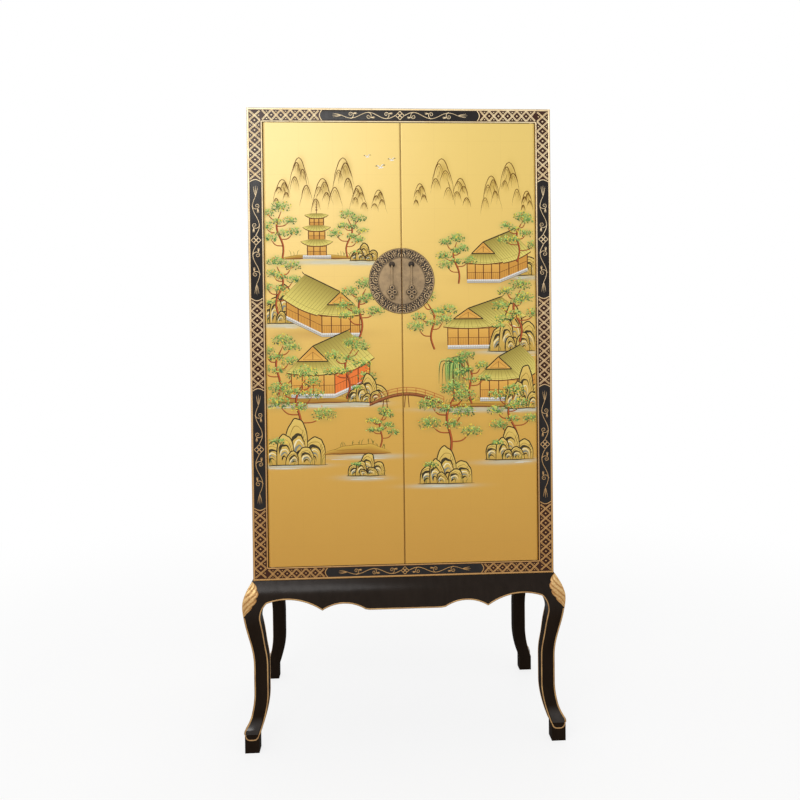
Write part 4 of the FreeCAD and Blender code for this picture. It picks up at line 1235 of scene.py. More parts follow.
def make_lock_plates():
    """The two half discs, worked as rows across the disc from rim to seam, with turned-down edges."""
    rows = np.concatenate([[-1.0], np.linspace(-1, 1, 190), [1.0]])
    v = rows[:, None] * (PLATE_RADIUS - PLATE_RIM)
    columns = np.concatenate([[0.0], np.linspace(0, 1, 110), [1.0]])
    rim = np.sqrt(PLATE_RADIUS**2 - v**2)
    x = PLATE_SEAM + (rim - PLATE_SEAM) * (1 - columns[None, :])
    z = v + 0 * x
    height, in_ring = plate_height(x, z)
    radius = np.hypot(x, z)
    proud = PLATE_FLOOR + PLATE_RELIEF * height * np.maximum(in_ring, radius > RING_INNER - 4)
    proud[[0, -1], :] = 0
    proud[:, [0, -1]] = 0
    plain = np.where(radius < RING_INNER - 1, PLATE_TONE, 0.0)
    tone = grey(np.clip(np.maximum(height * 0.85, plain), 0, 1))
    for side, name in ((-1, "left"), (1, "right")):
        plate = Shell()
        grid = FRONT_FACE.place(np.stack([side * x, PLATE_MIDDLE_Z + z], -1), proud)
        plate.add(grid if side > 0 else grid[::-1], tone if side > 0 else tone[::-1])
        board = f"{name}_lock_plate"
        plate.make(f"{name}_chased_plate", CHASED_BRASS, f"{name}_door", "antique_brass", [board])


def turned(profile, tone, centre, toward):
    """A round boss turned about the Y axis: profile gives (radius, depth outwards) from rim to middle."""
    turn = np.linspace(0, 2 * math.pi, 26, endpoint=False)[:, None]
    radius, depth = profile[:, 0][None, :], profile[:, 1][None, :]
    x, z = centre[0] + radius * np.cos(turn), centre[2] + radius * np.sin(turn)
    grid = np.stack([x, centre[1] + toward * depth + 0 * turn, z], -1)
    colour = np.broadcast_to(grey(tone), grid.shape)
    return (grid, colour) if toward < 0 else (grid[::-1], colour[::-1])


STRAP_HALF = 3.4
STRAP_WAIST = 1.1
STRAP_FLATNESS = 0.55
STRAP_TONE = 0.6


def strap_skin(x, top, bottom):
    """The pull's strap as rounded sections stacked from top to bottom, waisted in the middle.

    At share t down it the half width is less by the waist times sin(pi t), and the half depth a share of
    that.
    """
    turn = np.linspace(0, 2 * math.pi, 18, endpoint=False)[:, None]
    t = np.linspace(0, 1, 24)[None, :]
    half = STRAP_HALF - STRAP_WAIST * np.sin(math.pi * t)
    depth = PULL_PIN_Y + STRAP_FLATNESS * half * np.sin(turn)
    return np.stack([x + half * np.cos(turn), depth, top + (bottom - top) * t + 0 * turn], -1)


KNUCKLE_RUN = np.array([-3.8, -3.8, -3.3, 3.3, 3.8, 3.8])
KNUCKLE_RADII = np.array([2.1, 3.6, KNUCKLE_RADIUS, KNUCKLE_RADIUS, 3.6, 2.1])
KNUCKLE_TONE = 0.15


def knuckle_skin(x):
    """The pull's knuckle: a round about the pin, with its ends eased and closed up to the pin's hole."""
    turn = np.linspace(0, 2 * math.pi, 24, endpoint=False)[:, None]
    y, z = PULL_PIN_Y + KNUCKLE_RADII * np.cos(turn), PULL_PIN_Z + KNUCKLE_RADII * np.sin(turn)
    return np.stack([x + KNUCKLE_RUN + 0 * turn, y, z], -1)


PENDANT_DROP = 82.5
LOBE_RADIUS = 8.5
LOBE_OUT = 7.75
LOBE_UP = 13.5
LOBES = (
    (0.0, PENDANT_DROP - LOBE_UP),
    (-LOBE_OUT, PENDANT_DROP),
    (LOBE_OUT, PENDANT_DROP),
    (0.0, PENDANT_DROP + LOBE_UP),
)
MIDDLE_BOSS = (0.42, 1.15)
MIDDLE_TONE = 0.7


def make_pulls():
    """Cast pulls: a knuckle on the pin, a waisted strap, and a pendant of four bosses round a small one.

    At share r of a boss's radius it stands out as a half round less a bell, which is its dish.
    """
    r = np.linspace(1, 0, 22)
    dish = 2.6 * np.sqrt(np.clip(1 - r**2, 0, 1)) + 0.9 - 2.4 * bell(r, 0.34)
    boss = np.stack([LOBE_RADIUS * np.maximum(r, 0.01), np.maximum(dish, 0.05) * (r < 1)], -1)
    tone = np.clip(0.12 + 0.58 * bell(r - 0.62, 0.2) - 0.3 * bell(r, 0.3), 0, 1)
    bosses = [(boss, tone, dx, drop) for dx, drop in LOBES]
    bosses.append((boss * MIDDLE_BOSS, np.full(len(r), MIDDLE_TONE), 0.0, PENDANT_DROP))
    for side, name in ((-1, "left"), (1, "right")):
        pull = Shell()
        x = side * PULL_X
        strap = strap_skin(x, PULL_PIN_Z - 1, PULL_PIN_Z - LOBES[0][1] + 4)
        pull.add(strap[::-1], grey(STRAP_TONE), closed=True)
        pull.add(knuckle_skin(x), grey(KNUCKLE_TONE), closed=True)
        for profile, shade, dx, drop in bosses:
            for toward in (-1, 1):
                grid, colour = turned(profile, shade, (x + dx, PULL_PIN_Y, PULL_PIN_Z - drop), toward)
                pull.add(grid, colour, closed=True)
        pull.make(f"{name}_cast_pull", CHASED_BRASS, f"{name}_pull", "antique_brass", [f"{name}_pull"])


# Painting

INK = linear(40, 31, 12)
SOFT_INK = linear(120, 86, 16)
PEAK_INK = linear(98, 64, 4)
MOSS = linear(176, 140, 30)
BARK = linear(178, 86, 40)
BARK_DARK = linear(98, 44, 20)
STONE = linear(236, 234, 228)
STONE_SHADE = linear(176, 174, 166)
ROOF_LOW = linear(228, 212, 112)
ROOF_HIGH = linear(156, 138, 60)
ROOF_SHADE = linear(128, 104, 44)
WALL = linear(228, 176, 84)
WALL_SHADE = linear(206, 148, 62)
ORANGE_WALL = linear(232, 120, 52)
POST = linear(96, 50, 20)
POST_PALE = linear(164, 102, 44)
ROCK_PALE = linear(222, 190, 100)
ROCK_DEEP = linear(196, 156, 70)
ROCK_SHADOW = linear(58, 50, 28)
ROCK_GREY = linear(126, 132, 122)
ROCK_LIGHT = linear(236, 222, 178)
SHORE_PALE = linear(212, 172, 74)
SHORE_DEEP = linear(158, 104, 36)
GRASS = linear(96, 104, 40)
PLANK = linear(184, 116, 60)
WATER = linear(186, 192, 178)
RIPPLE = linear(214, 214, 202)
LEAVES = np.array(
    [
        linear(44, 76, 42),
        linear(72, 112, 56),
        linear(108, 148, 72),
        linear(146, 182, 94),
        linear(192, 206, 112),
        linear(230, 208, 72),
        linear(228, 140, 58),
    ]
)
GREEN_LEAVES = 5
FLECK_LEAVES = (4, 5, 5, 5, 6)
PAINT_CORNER = np.array([-520.0, 440.0])
PAINT_CELL = 6.0
PAINT_MAP = (180, 260)
PAINT_BASE = 0.10
PAINT_STEP = 0.003
PAINT_DEPTH = 0.006
PAD_DABS = 0.20
HEEL_RUN = 0.18
ARCH_POINTS = 34
WITHIES = 44

# Share of its width that a stroke has at its heel and at its tip

RULED = (0.9, 0.9)
DRAWN = (0.8, 0.8)
TILED = (0.8, 0.5)
SWEPT = (0.2, 0.1)
GROWN = (0.9, 0.25)

# Arches inside a boulder: scale, brush width, share of the boulder's width in that, and colour

ROCK_ARCHES = (
    (0.84, 1.6, 0.0, SOFT_INK),
    (0.68, 0.0, 0.15, ROCK_SHADOW),
    (0.54, 0.0, 0.07, ROCK_LIGHT),
    (0.42, 0.0, 0.10, ROCK_GREY),
    (0.30, 0.0, 0.09, INK),
)

# Boulders of a clump: offset, width and height as shares of its size

ROCK_CLUMP = (
    (-0.46, 0.5, 0.5),
    (0.44, 0.54, 0.6),
    (0.02, 0.56, 1.0),
    (-0.22, 0.42, 0.66),
    (0.26, 0.4, 0.38),
    (-0.08, 0.3, 0.3),
)


class Sheet:
    """A gold panel's grid, flat places and limits, and its washes: colours, with cover as the fourth."""

    def __init__(self, face, flat, grid, low, high):
        self.face, self.flat, self.grid, self.low, self.high = face, flat, grid, low, high
        self.wash = np.zeros(flat.shape[:-1] + (4,))


class Painting:
    """A landscape in washes and brush marks on one or more gold panels, in flat millimetres."""

    def __init__(self, sheets, seed):
        self.sheets, self.marks = sheets, []
        self.heights = np.full(PAINT_MAP, PAINT_BASE)
        self.rng = np.random.default_rng(seed)

    def blot(self, x, z, half_x, half_z, colour, strength):
        """A soft round wash over each panel: its cover falls off as a bell about its middle."""
        for sheet in self.sheets:
            along, up = (sheet.flat[..., 0] - x) / half_x, (sheet.flat[..., 1] - z) / half_z
            new = strength * np.exp(-(along**2) - up**2)
            old = sheet.wash[..., 3] * (1 - new)
            mixed = sheet.wash[..., :3] * old[..., None] + np.array(colour) * new[..., None]
            sheet.wash[..., :3] = mixed / np.maximum(new + old, 1e-6)[..., None]
            sheet.wash[..., 3] = new + old

    def mark(self, flat, colour):
        """Keeps grids of flat points as paint, just over all the paint in the map's cells under them."""
        flat = np.asarray(flat, float)
        flat = flat.reshape((-1,) + flat.shape[-3:])
        spots = (flat.reshape(-1, 2) - PAINT_CORNER) / PAINT_CELL
        low, high = np.floor(spots.min(0)).astype(int), np.ceil(spots.max(0)).astype(int) + 1
        under = self.heights[low[0] : high[0], low[1] : high[1]]
        level = under.max() + PAINT_STEP + PAINT_DEPTH * np.arange(len(flat)) / len(flat)
        under[...] = level[-1]
        level = np.broadcast_to(level[:, None, None, None], flat.shape[:-1] + (1,))
        self.marks.append((np.concatenate([flat, level], -1), np.asarray(colour, float)))

    def stroke(self, path, width, colour, heel, tip, fade=0.35):
        """Brush strokes along paths of shape (..., points, 2).

        A stroke has the heel's share of its width at its start, fills out to the whole, and thins over the
        fade to the tip's share.
        """
        path = np.asarray(path, float)
        path = path.reshape((-1,) + path.shape[-2:])
        t = np.linspace(0, 1, path.shape[1])
        body = np.minimum(1, np.minimum(heel + t / HEEL_RUN, tip + (1 - t) / fade))
        half = np.broadcast_to(np.asarray(width, float).reshape(-1, 1) / 2 * body, path.shape[:-1])
        ahead = unit(np.gradient(path, axis=1))
        left = np.stack([-ahead[..., 1], ahead[..., 0]], -1)
        sides = np.array([-1.0, 1.0])[:, None]
        colour = np.asarray(colour, float)
        if colour.ndim == 2:
            colour = colour[:, None, None, :]
        self.mark(path[:, :, None, :] + left[:, :, None, :] * half[:, :, None, None] * sides, colour)

    def dabs(self, centre, half_length, half_width, turn, colour):
        """Leaf-shaped dabs at centres (n, 2): half width times the root of (1 - t squared) along each."""
        t = np.array([-0.92, -0.35, 0.35, 0.92])
        along = np.broadcast_to((half_length[:, None] * t)[..., None], (len(centre), len(t), 2))
        across = (half_width[:, None] * np.sqrt(1 - t**2))[..., None] * np.array([-1.0, 1.0])
        c, s = np.cos(turn)[:, None, None], np.sin(turn)[:, None, None]
        grid = np.stack([along * c - across * s, along * s + across * c], -1) + centre[:, None, None, :]
        self.mark(grid, colour[:, None, None, :])

    def fill(self, lower, upper, low_colour, high_colour, columns=5):
        """A filled shape between two curves (n, 2) that run the same way, shaded from one to the other."""
        lower, upper = np.asarray(lower, float), np.asarray(upper, float)
        s = np.linspace(0, 1, columns)[:, None]
        grid = lower[:, None, :] * (1 - s) + upper[:, None, :] * s
        colour = np.array(low_colour) * (1 - s) + np.array(high_colour) * s
        ahead, up = grid[1:, :-1] - grid[:-1, :-1], grid[:-1, 1:] - grid[:-1, :-1]
        if (ahead[..., 0] * up[..., 1] - ahead[..., 1] * up[..., 0]).sum() < 0:
            grid = grid[::-1]
        self.mark(grid, colour[None, None])

    def wobble(self, count, size):
        """A smooth random wave of count points: three sines of unlike length."""
        t = np.linspace(0, 1, count)
        first, second, third = self.rng.uniform(0, 2 * math.pi, 3)
        wave = np.sin(7 * t + first) + 0.6 * np.sin(15 * t + second) + 0.4 * np.sin(29 * t + third)
        return size * wave / 2

    def arch(self, x, z, width, height, lean, rough, power):
        """An arched outline from its left foot over the crown to its right foot, with an uneven hand.

        At angle a it stands half the width times cosine out and the height times sine to a power up.
        """
        turn = np.linspace(math.pi, 0, ARCH_POINTS)
        rise = np.maximum(np.sin(turn), 0) ** power
        along = x + width / 2 * np.cos(turn) + lean * rise + self.wobble(ARCH_POINTS, rough * width) * rise
        up = z + height * rise + self.wobble(ARCH_POINTS, rough * height) * rise
        return np.stack([along, up], -1)

    def crown(self, x, top, width, drop, weight, ink):
        """One arched crown: two strokes down from its top, heavy there and fading out.

        At share s down a side it stands width / 2 * s to the power 0.66 out and drop * s to 1.25 down.
        """
        s = np.linspace(0, 1, 18)
        for side in (-1, 1):
            along = x + side * width / 2 * s**0.66 + self.wobble(len(s), 0.05 * width) * s
            path = np.stack([along, top - drop * s**1.25], -1)
            last = int(self.rng.integers(11, len(s) + 1))
            self.stroke(path[:last], weight, ink, 0.9, 0.02, self.rng.uniform(0.7, 1.0))

    def mountain(self, x, z, width, height, lean):
        """A tall peak: long flanks that fade, lesser crowns on its shoulders, and strokes down its face.

        The lesser crowns stand to either hand by turns, each lower and further out than the last, with an
        olive shade to one side of it.
        """
        self.crown(x + lean, z + height, 0.9 * width, height, 2.4, PEAK_INK)
        self.blot(x + lean + 0.08 * width, z + 0.78 * height, 0.12 * width, 0.2 * height, MOSS, 0.5)
        hand = self.rng.choice([-1, 1])
        for k, share in enumerate((0.10, 0.24, 0.40, 0.58)):
            out = hand * (-1) ** k * (0.05 + 0.30 * share) * width
            at, top = x + lean * (1 - share) + out, z + height * (1 - share)
            wide, drop = width * self.rng.uniform(0.34, 0.5), height * self.rng.uniform(0.34, 0.5)
            self.crown(at, top, wide, drop, self.rng.uniform(2.0, 3.4), PEAK_INK)
            self.crown(at, top - 0.12 * drop, 0.5 * wide, 0.5 * drop, 1.3, SOFT_INK)
            self.blot(at + 0.12 * wide, top - 0.3 * drop, 0.26 * wide, 0.3 * drop, MOSS, 0.34)
        t = self.rng.uniform(-1, 1, 9)
        head = np.stack([x + lean + 0.2 * width * t, z + height * (0.86 - 0.34 * np.abs(t))], -1)
        foot = head + np.stack([0.08 * width * t, -height * self.rng.uniform(0.08, 0.2, 9)], -1)
        self.stroke(segments(head, foot, 5), 1.2, SOFT_INK, 0.8, 0.05, 0.9)

    def rock(self, x, z, width, height, lean):
        """One boulder: a gold fill, dark arches with grey and pale ones inside them, and a bold outline."""
        outline = self.arch(x, z, width, height, lean, 0.05, 0.6)
        self.fill(np.stack([outline[:, 0], np.full(len(outline), z)], -1), outline, ROCK_DEEP, ROCK_PALE)
        offset = self.rng.uniform(-0.14, 0.14) * width
        for scale, brush, share, ink in ROCK_ARCHES:
            arch = self.arch(x + offset * (1.3 - scale), z, scale * width, scale * height, lean, 0.05, 0.64)
            first, last = self.rng.integers(0, 7), ARCH_POINTS - self.rng.integers(0, 7)
            self.stroke(arch[first:last], brush + share * width, ink, 0.1, 0.04, 0.7)
        hatch = self.arch(x, z, 0.92 * width, 0.9 * height, lean, 0.03, 0.6)[24:32:2]
        self.stroke(segments(hatch, hatch - [0.10 * width, 0.16 * height], 4), 1.5, SOFT_INK, 0.6, 0.1)
        self.stroke(outline, 3.2, INK, 0.5, 0.4)

    def rocks(self, x, z, size, tall):
        """A clump of boulders with moss on top and grass at the foot, over a streak of water."""
        self.water(x, z - 2, 1.5 * size)
        for dx, wide, high in ROCK_CLUMP:
            lean = self.rng.uniform(-0.08, 0.08) * size
            self.rock(x + dx * size, z, wide * size, high * size * tall, lean)
        self.pad(x - 0.40 * size, z + 0.52 * size * tall, 0.2 * size, 0.09 * size, 0.2)
        t = np.linspace(0, 1, 14)
        foot = np.stack([x + (t - 0.5) * 1.55 * size, z + self.wobble(len(t), 1.2)], -1)
        self.stroke(foot, 2.6, INK, 0.3, 0.2)
        self.grass(x + self.rng.uniform(-0.75, 0.75, 9) * size, np.full(9, z), 0.2 * size)

    def grass(self, x, z, height):
        """Blades that bend away from each foot."""
        foot = np.stack([x, z], -1)
        lean, rise = self.rng.uniform(-0.6, 0.6, len(x)), self.rng.uniform(0.5, 1.1, len(x))
        tip = foot + np.stack([lean, rise], -1) * height
        bend = foot + (tip - foot) * [0.2, 0.7]
        self.stroke(bezier(foot, bend, bend, tip, 7), 1.3, GRASS, 0.5, 0.1)

    def water(self, x, z, length):
        """Pale blue-grey streaks that thin out sideways, with a few drawn ripples."""
        for _ in range(3):
            dx, dz = self.rng.uniform(-0.25, 0.25) * length, self.rng.uniform(-8, 2)
            self.blot(x + dx, z + dz, 0.48 * length, 5.5, WATER, 0.45)
        middle = np.stack([x + self.rng.uniform(-0.4, 0.4, 4) * length, z - self.rng.uniform(3, 12, 4)], -1)
        half = np.stack([self.rng.uniform(0.08, 0.2, 4) * length, 0 * middle[:, 1]], -1)
        self.stroke(segments(middle - half, middle + half, 6), 1.1, RIPPLE, 0.1, 0.1)

    def ground(self, x, z, half_x, half_z):
        """A soft ochre rise that a group of things stands on."""
        self.blot(x, z, half_x, half_z, SHORE_DEEP, 0.34)
        self.blot(x, z + 0.5 * half_z, 0.8 * half_x, 0.5 * half_z, MOSS, 0.24)

    def pad(self, x, z, half_x, half_z, yellow):
        """A flat cloud of leaves in three lobes: dark dabs below, light above, warm flecks round its rim.

        Dabs lie evenly over each lobe's ellipse, at the root of an even share of its radius.
        """
        self.blot(x, z, 0.85 * half_x, 0.85 * half_z, LEAVES[1], 0.42)
        count = 20 + int(PAD_DABS * half_x * half_z)
        lobe = self.rng.integers(-1, 2, count)
        angle, far = self.rng.uniform(0, 2 * math.pi, count), np.sqrt(self.rng.uniform(0, 1, count))
        along = 0.5 * half_x * lobe + 0.58 * half_x * far * np.cos(angle)
        rise = 0.3 * half_z * (lobe == 0) + 0.8 * half_z * far * np.sin(angle)
        light = np.clip(0.42 + 0.42 * rise / half_z + self.rng.normal(0, 0.17, count), 0, 0.999)
        fleck = (far > 0.8) & (self.rng.uniform(size=count) < 0.12 + 0.6 * yellow)
        pick = np.where(fleck, self.rng.choice(FLECK_LEAVES, count), (light * GREEN_LEAVES).astype(int))
        colour = LEAVES[pick] * self.rng.uniform(0.9, 1.1, (count, 1))
        order = np.argsort(light + 0.3 * fleck)
        long = self.rng.uniform(1.5, 3.3, count)
        tilt, upright = self.rng.uniform(-0.9, 0.9, count), self.rng.uniform(size=count) >= 0.5
        turn = tilt + np.where(upright, math.pi / 2, 0)
        centre = np.stack([x + along, z + rise], -1)
        self.dabs(centre[order], long[order], 0.48 * long[order], turn[order], colour[order])

    def limb(self, path, width):
        """A branch: a dark stroke and a redder one along its lit side."""
        self.stroke(path, width, BARK_DARK, *GROWN)
        self.stroke(path + [0.15 * width, 0.1 * width], 0.55 * width, BARK, *GROWN)

    def tree(self, x, z, height, lean, yellow, spread=1.0):
        """A winding trunk with limbs that rise to flat clouds of leaves on either hand and at its head.

        At share t up it the trunk stands off by a sine of 1.15 turns that grows with t. yellow is the
        leaves' share of warm flecks, and spread widens the limbs and clouds.
        """
        t = np.linspace(0, 1, 30)
        kink = self.rng.uniform(0.05, 0.085) * height * self.rng.choice([-1, 1])
        sway = kink * np.sin(2 * math.pi * 1.15 * t) * (0.5 + 0.5 * t)
        trunk = np.stack([x + lean * t + sway, z + 0.82 * height * t], -1)
        pads = [(trunk[-1] + [0, 0.05 * height], 0.17)]
        first = self.rng.choice([-1, 1])
        for k, share in enumerate((0.30, 0.44, 0.58, 0.72, 0.86)):
            side = first if k % 2 else -first
            start = trunk[int(share * (len(t) - 1))]
            reach = spread * height * self.rng.uniform(0.20, 0.28) * (1.2 - 0.6 * share)
            tip = start + [side * reach, height * self.rng.uniform(0.07, 0.14)]
            bend = start + [side * 0.6 * reach, 0.0]
            self.limb(bezier(start, bend, bend, tip, 12), 0.012 * height + 1.0)
            pads.append((tip + [0.1 * side * reach, 0], self.rng.uniform(0.12, 0.16)))
        for share in (0.52, 0.78):
            start = trunk[int(share * (len(t) - 1))]
            pads.append((start + [self.rng.uniform(-0.06, 0.06) * height, 0.0], 0.11))
        self.limb(trunk, 0.026 * height + 1.4)
        for middle, size in pads:
            half = spread * height * size
            self.pad(middle[0], middle[1] + 0.2 * half, half, 0.62 * half, yellow)

    def shore(self, left, right, z, depth):
        """A low ochre bank with a shaded lip, grass along it and water under it."""
        t = np.linspace(0, 1, 30)
        along = left + (right - left) * t
        swell = np.sin(math.pi * t) ** 0.6
        upper = np.stack([along, z + depth * swell * (0.8 + self.wobble(len(t), 0.18))], -1)
        lower = np.stack([along, z + self.wobble(len(t), 1.5)], -1)
        self.water((left + right) / 2, z - 6, 0.9 * (right - left))
        self.fill(lower, upper, SHORE_DEEP, SHORE_PALE)
        self.stroke(lower, 2.4, POST, *SWEPT)
        self.stroke(lower[4:22] + [0, 0.35 * depth], 1.2, SOFT_INK, *SWEPT)
        self.stroke(upper, 1.2, SOFT_INK, *SWEPT)
        at = self.rng.integers(3, 27, 18)
        self.grass(upper[at, 0], upper[at, 1], 16.0)

    def slope(self, eave, ridge, sag, lines):
        """A tiled roof slope between an eave and a ridge, each two flat points, with tile lines down it.

        The eave hangs by half the sag times a half sine wave.
        """
        t = np.linspace(0, 1, 25)[:, None]
        eave, ridge = np.asarray(eave, float), np.asarray(ridge, float)
        low = eave[0] * (1 - t) + eave[1] * t - np.array([0, 1.0]) * sag * 0.5 * np.sin(math.pi * t)
        high = ridge[0] * (1 - t) + ridge[1] * t
        self.fill(low, high, ROOF_LOW, ROOF_HIGH, 6)
        pick = np.linspace(0, len(t) - 1, lines).round().astype(int)
        self.stroke(segments(low[pick], high[pick], 4), 0.8, ROOF_SHADE, *TILED)
        self.stroke(low * 0.84 + high * 0.16, 0.7, ROOF_SHADE, *DRAWN)
        self.stroke(low, 3.0, POST, *DRAWN)
        self.stroke(high, 3.2, INK, *DRAWN)

    def upright(self, start, end, up, low_colour, high_colour):
        """A plain wall over a line on the ground."""
        self.fill(segments(start, end, 6), segments(start + up, end + up, 6), low_colour, high_colour)

    def bays(self, start, end, up, count):
        """Posts along a wall with a beam under the eave, a rail, and thin pales under the rail."""
        posts, pales = segments(start, end, count), segments(start, end, 4 * count - 3)
        self.stroke(segments(pales, pales + 0.4 * up, 3), 0.8, POST_PALE, *RULED)
        rails = np.stack([segments(start + share * up, end + share * up, 6) for share in (0.4, 0.88)])
        self.stroke(rails, 1.3, POST, *RULED)
        self.stroke(segments(posts, posts + up, 4), 2.8, POST, *RULED)

    def hall(self, x, z, width, wall, roof, depth, side_wall=WALL_SHADE):
        """A pavilion in oblique view: its gable front at (x, z), running back along depth, on a stone step.

        wall is the height to the eave and roof the height from there to the ridge.
        """
        depth, left, eave = np.array(depth, float), np.array([x, z], float), 0.11 * width
        right, up = left + [width, 0], np.array([0.0, wall])
        out = -1 if depth[0] < 0 else 1
        near = left if out < 0 else right
        self.ground(x + width / 2 + depth[0] / 2, z - 4, 0.7 * width + abs(depth[0]) / 2, 16)
        self.stone_rail(near, near + depth, 0.2 * wall)
        self.stone_rail(left, right, 0.2 * wall)
        self.upright(near, near + depth, up, side_wall, side_wall)
        self.upright(left, right, up, WALL_SHADE, WALL)
        self.bays(near, near + depth, up, 4)
        self.bays(left, right, up, 5)
        skirt = left + [width / 2, wall]
        apex = skirt + [0, roof]
        side_eave = near + up + [out * eave, -0.08 * wall]
        self.slope([side_eave, side_eave + depth], [apex, apex + depth], 0.2 * roof, 13)
        foot, half = skirt + [0, 0.42 * roof], np.array([0.36 * width, 0])
        gable = [foot - half, foot + half]
        self.gable(foot, half, gable, apex)
        lip = np.array([eave, 0.02 * wall])
        self.slope([left + up - lip, right + up + lip * [1, -1]], gable, 0.2 * roof, 11)
        bends = (apex + share * depth for share in (1.03, 1.06))
        horn = bezier(apex + depth, *bends, apex + 1.08 * depth + [0, 5], 6)
        self.stroke(horn, 2.2, INK, 0.9, 0.3)

    def gable(self, foot, half, ends, apex):
        """A gable over a foot line of two ends, with its raking edges and a framed king post inside."""
        peak = apex + np.linspace(-0.004, 0.004, 5)[:, None] * [1.0, 0.0]
        self.fill(segments(*ends, 5), peak, WALL, WALL_SHADE)
        self.stroke(segments(ends, [apex, apex], 5), 3.0, INK, *DRAWN)
        inner_peak, sill = foot + 0.62 * (apex - foot), foot + 0.12 * (apex - foot)
        corners = np.stack([sill - 0.62 * half, inner_peak, sill + 0.62 * half])
        self.stroke(segments(corners, corners[[1, 2, 0]], 4), 1.2, POST_PALE, *RULED)
        self.stroke(segments(sill, inner_peak, 4), 1.6, POST, *RULED)

    def stone_rail(self, start, end, height):
        """A pale stone step along a wall's foot, with grey pales and a cap."""
        down = np.array([0.0, height])
        self.fill(segments(start - down, end - down, 8), segments(start, end, 8), STONE_SHADE, STONE)
        pales = segments(start, end, 19)
        self.stroke(segments(pales - down, pales, 3), 1.1, STONE_SHADE, *RULED)
        self.stroke(segments(start - 0.55 * down, end - 0.55 * down, 8), 0.9, SOFT_INK, *RULED)
        self.stroke(segments(start, end, 8), 1.8, STONE, *RULED)
        self.stroke(segments(start - down, end - down, 8), 1.0, SOFT_INK, *RULED)

    def tower(self, x, z, width, tiers):
        """A tiered tower: each storey narrower than the last, under a roof with lifted corners, and a mast.

        At t across it, from -1 to 1, an eave is lifted by |t| cubed.
        """
        t = np.linspace(-1, 1, 17)
        self.stone_rail(np.array([x - 0.5 * width, z]), np.array([x + 0.5 * width, z]), 0.12 * width)
        for k in range(tiers):
            w = width * (1 - 0.13 * k)
            wall, roof = 0.36 * w, 0.22 * w
            left, right = np.array([x - 0.34 * w, z]), np.array([x + 0.34 * w, z])
            up = np.array([0.0, wall])
            self.upright(left, right, up, WALL_SHADE, WALL)
            self.bays(left, right, up, 4)
            low = np.stack([x + 0.58 * w * t, z + wall - 0.03 * w + 0.17 * w * np.abs(t) ** 3], -1)
            high = np.stack([x + 0.24 * w * t, np.full(len(t), z + wall + roof)], -1)
            self.fill(low, high, ROOF_LOW, ROOF_HIGH)
            self.stroke(segments(low[::2], high[::2], 3), 0.7, ROOF_SHADE, *TILED)
            self.stroke(low, 2.2, POST, 0.6, 0.6)
            z = z + wall + roof
        self.stroke(segments((x, z), (x, z + 0.5 * width), 6), 2.0, POST, 0.9, 0.2)
        rings = np.array([x, z]) + np.array([[0, 0.12], [0, 0.22], [0, 0.32]]) * width
        long, wide = np.array([4.0, 3.0, 2.2]), np.array([1.5, 1.3, 1.1])
        self.dabs(rings, long, wide, np.zeros(3), np.tile(POST, (3, 1)))

    def bridge(self, left, right, z, rise):
        """A humped footbridge of planks on trestles with a light rail: its deck is half a sine wave."""
        t = np.linspace(0, 1, 25)
        deck = np.stack([left + (right - left) * t, z + rise * np.sin(math.pi * t)], -1)
        under, middle_rail, rail = deck - [0, 8], deck + [0, 8], deck + [0, 16]
        for at in deck[[5, 12, 19]]:
            feet = [[at[0] - 7, z - 14], [at[0] + 7, z - 14]]
            self.stroke(segments([at - [4, 7], at - [-4, 7]], feet, 3), 2.4, BARK_DARK, *RULED)
        self.fill(under, deck, BARK_DARK, PLANK)
        self.stroke(segments(under[1::2], deck[1::2], 3), 0.8, BARK_DARK, *RULED)
        self.stroke(np.stack([deck, under]), 1.8, BARK_DARK, *DRAWN)
        self.stroke(np.stack([rail, middle_rail]), 1.4, BARK, *DRAWN)
        self.stroke(segments(deck[::3], rail[::3], 3), 1.6, BARK, *RULED)

    def willow(self, x, z, height):
        """A leaning trunk with long hanging withies."""
        foot, head = (x, z), (x + 4, z + 0.9 * height)
        self.limb(bezier(foot, (x + 10, z + 0.4 * height), (x - 6, z + 0.6 * height), head, 16), 5.0)
        out, level = self.rng.uniform(-14, 14, WITHIES), self.rng.uniform(0.84, 1.0, WITHIES)
        start = np.stack([x + 4 + out, z + height * level], -1)
        side = self.rng.uniform(-1, 1, WITHIES)
        tip = start + np.stack([side * 36, -height * self.rng.uniform(0.35, 0.65, WITHIES)], -1)
        bend = start + np.stack([side * 34, height * 0.06 + 0 * side], -1)
        colour = LEAVES[self.rng.integers(0, GREEN_LEAVES, WITHIES)]
        self.stroke(bezier(start, bend, bend, tip, 14), 2.0, colour, 0.4, 0.2)
        self.blot(x + 4, z + 0.75 * height, 30, 0.22 * height, LEAVES[1], 0.25)

    def cranes(self, places):
        """Small birds on the wing: two curved wing strokes and a body dab each."""
        for x, z, size in places:
            wing = np.array([[-1.0, 0.35], [1.0, 0.5]]) * size
            root = np.array([[x, z], [x, z]])
            bend = root + wing * [0.45, 1.4]
            path = bezier(root, bend, bend, root + wing, 9)
            self.stroke(path, 0.2 * size, STONE, 0.8, 0.2)
            self.stroke(path[:, 5:], 0.14 * size, INK, 0.4, 0.2)
            self.stroke(path + [0, -0.09 * size], 0.05 * size, SOFT_INK, 0.4, 0.2)
            neck = segments((x - 0.45 * size, z - 0.08 * size), (x + 0.65 * size, z + 0.1 * size), 5)
            self.stroke(neck, 0.17 * size, STONE, 0.4, 0.3)

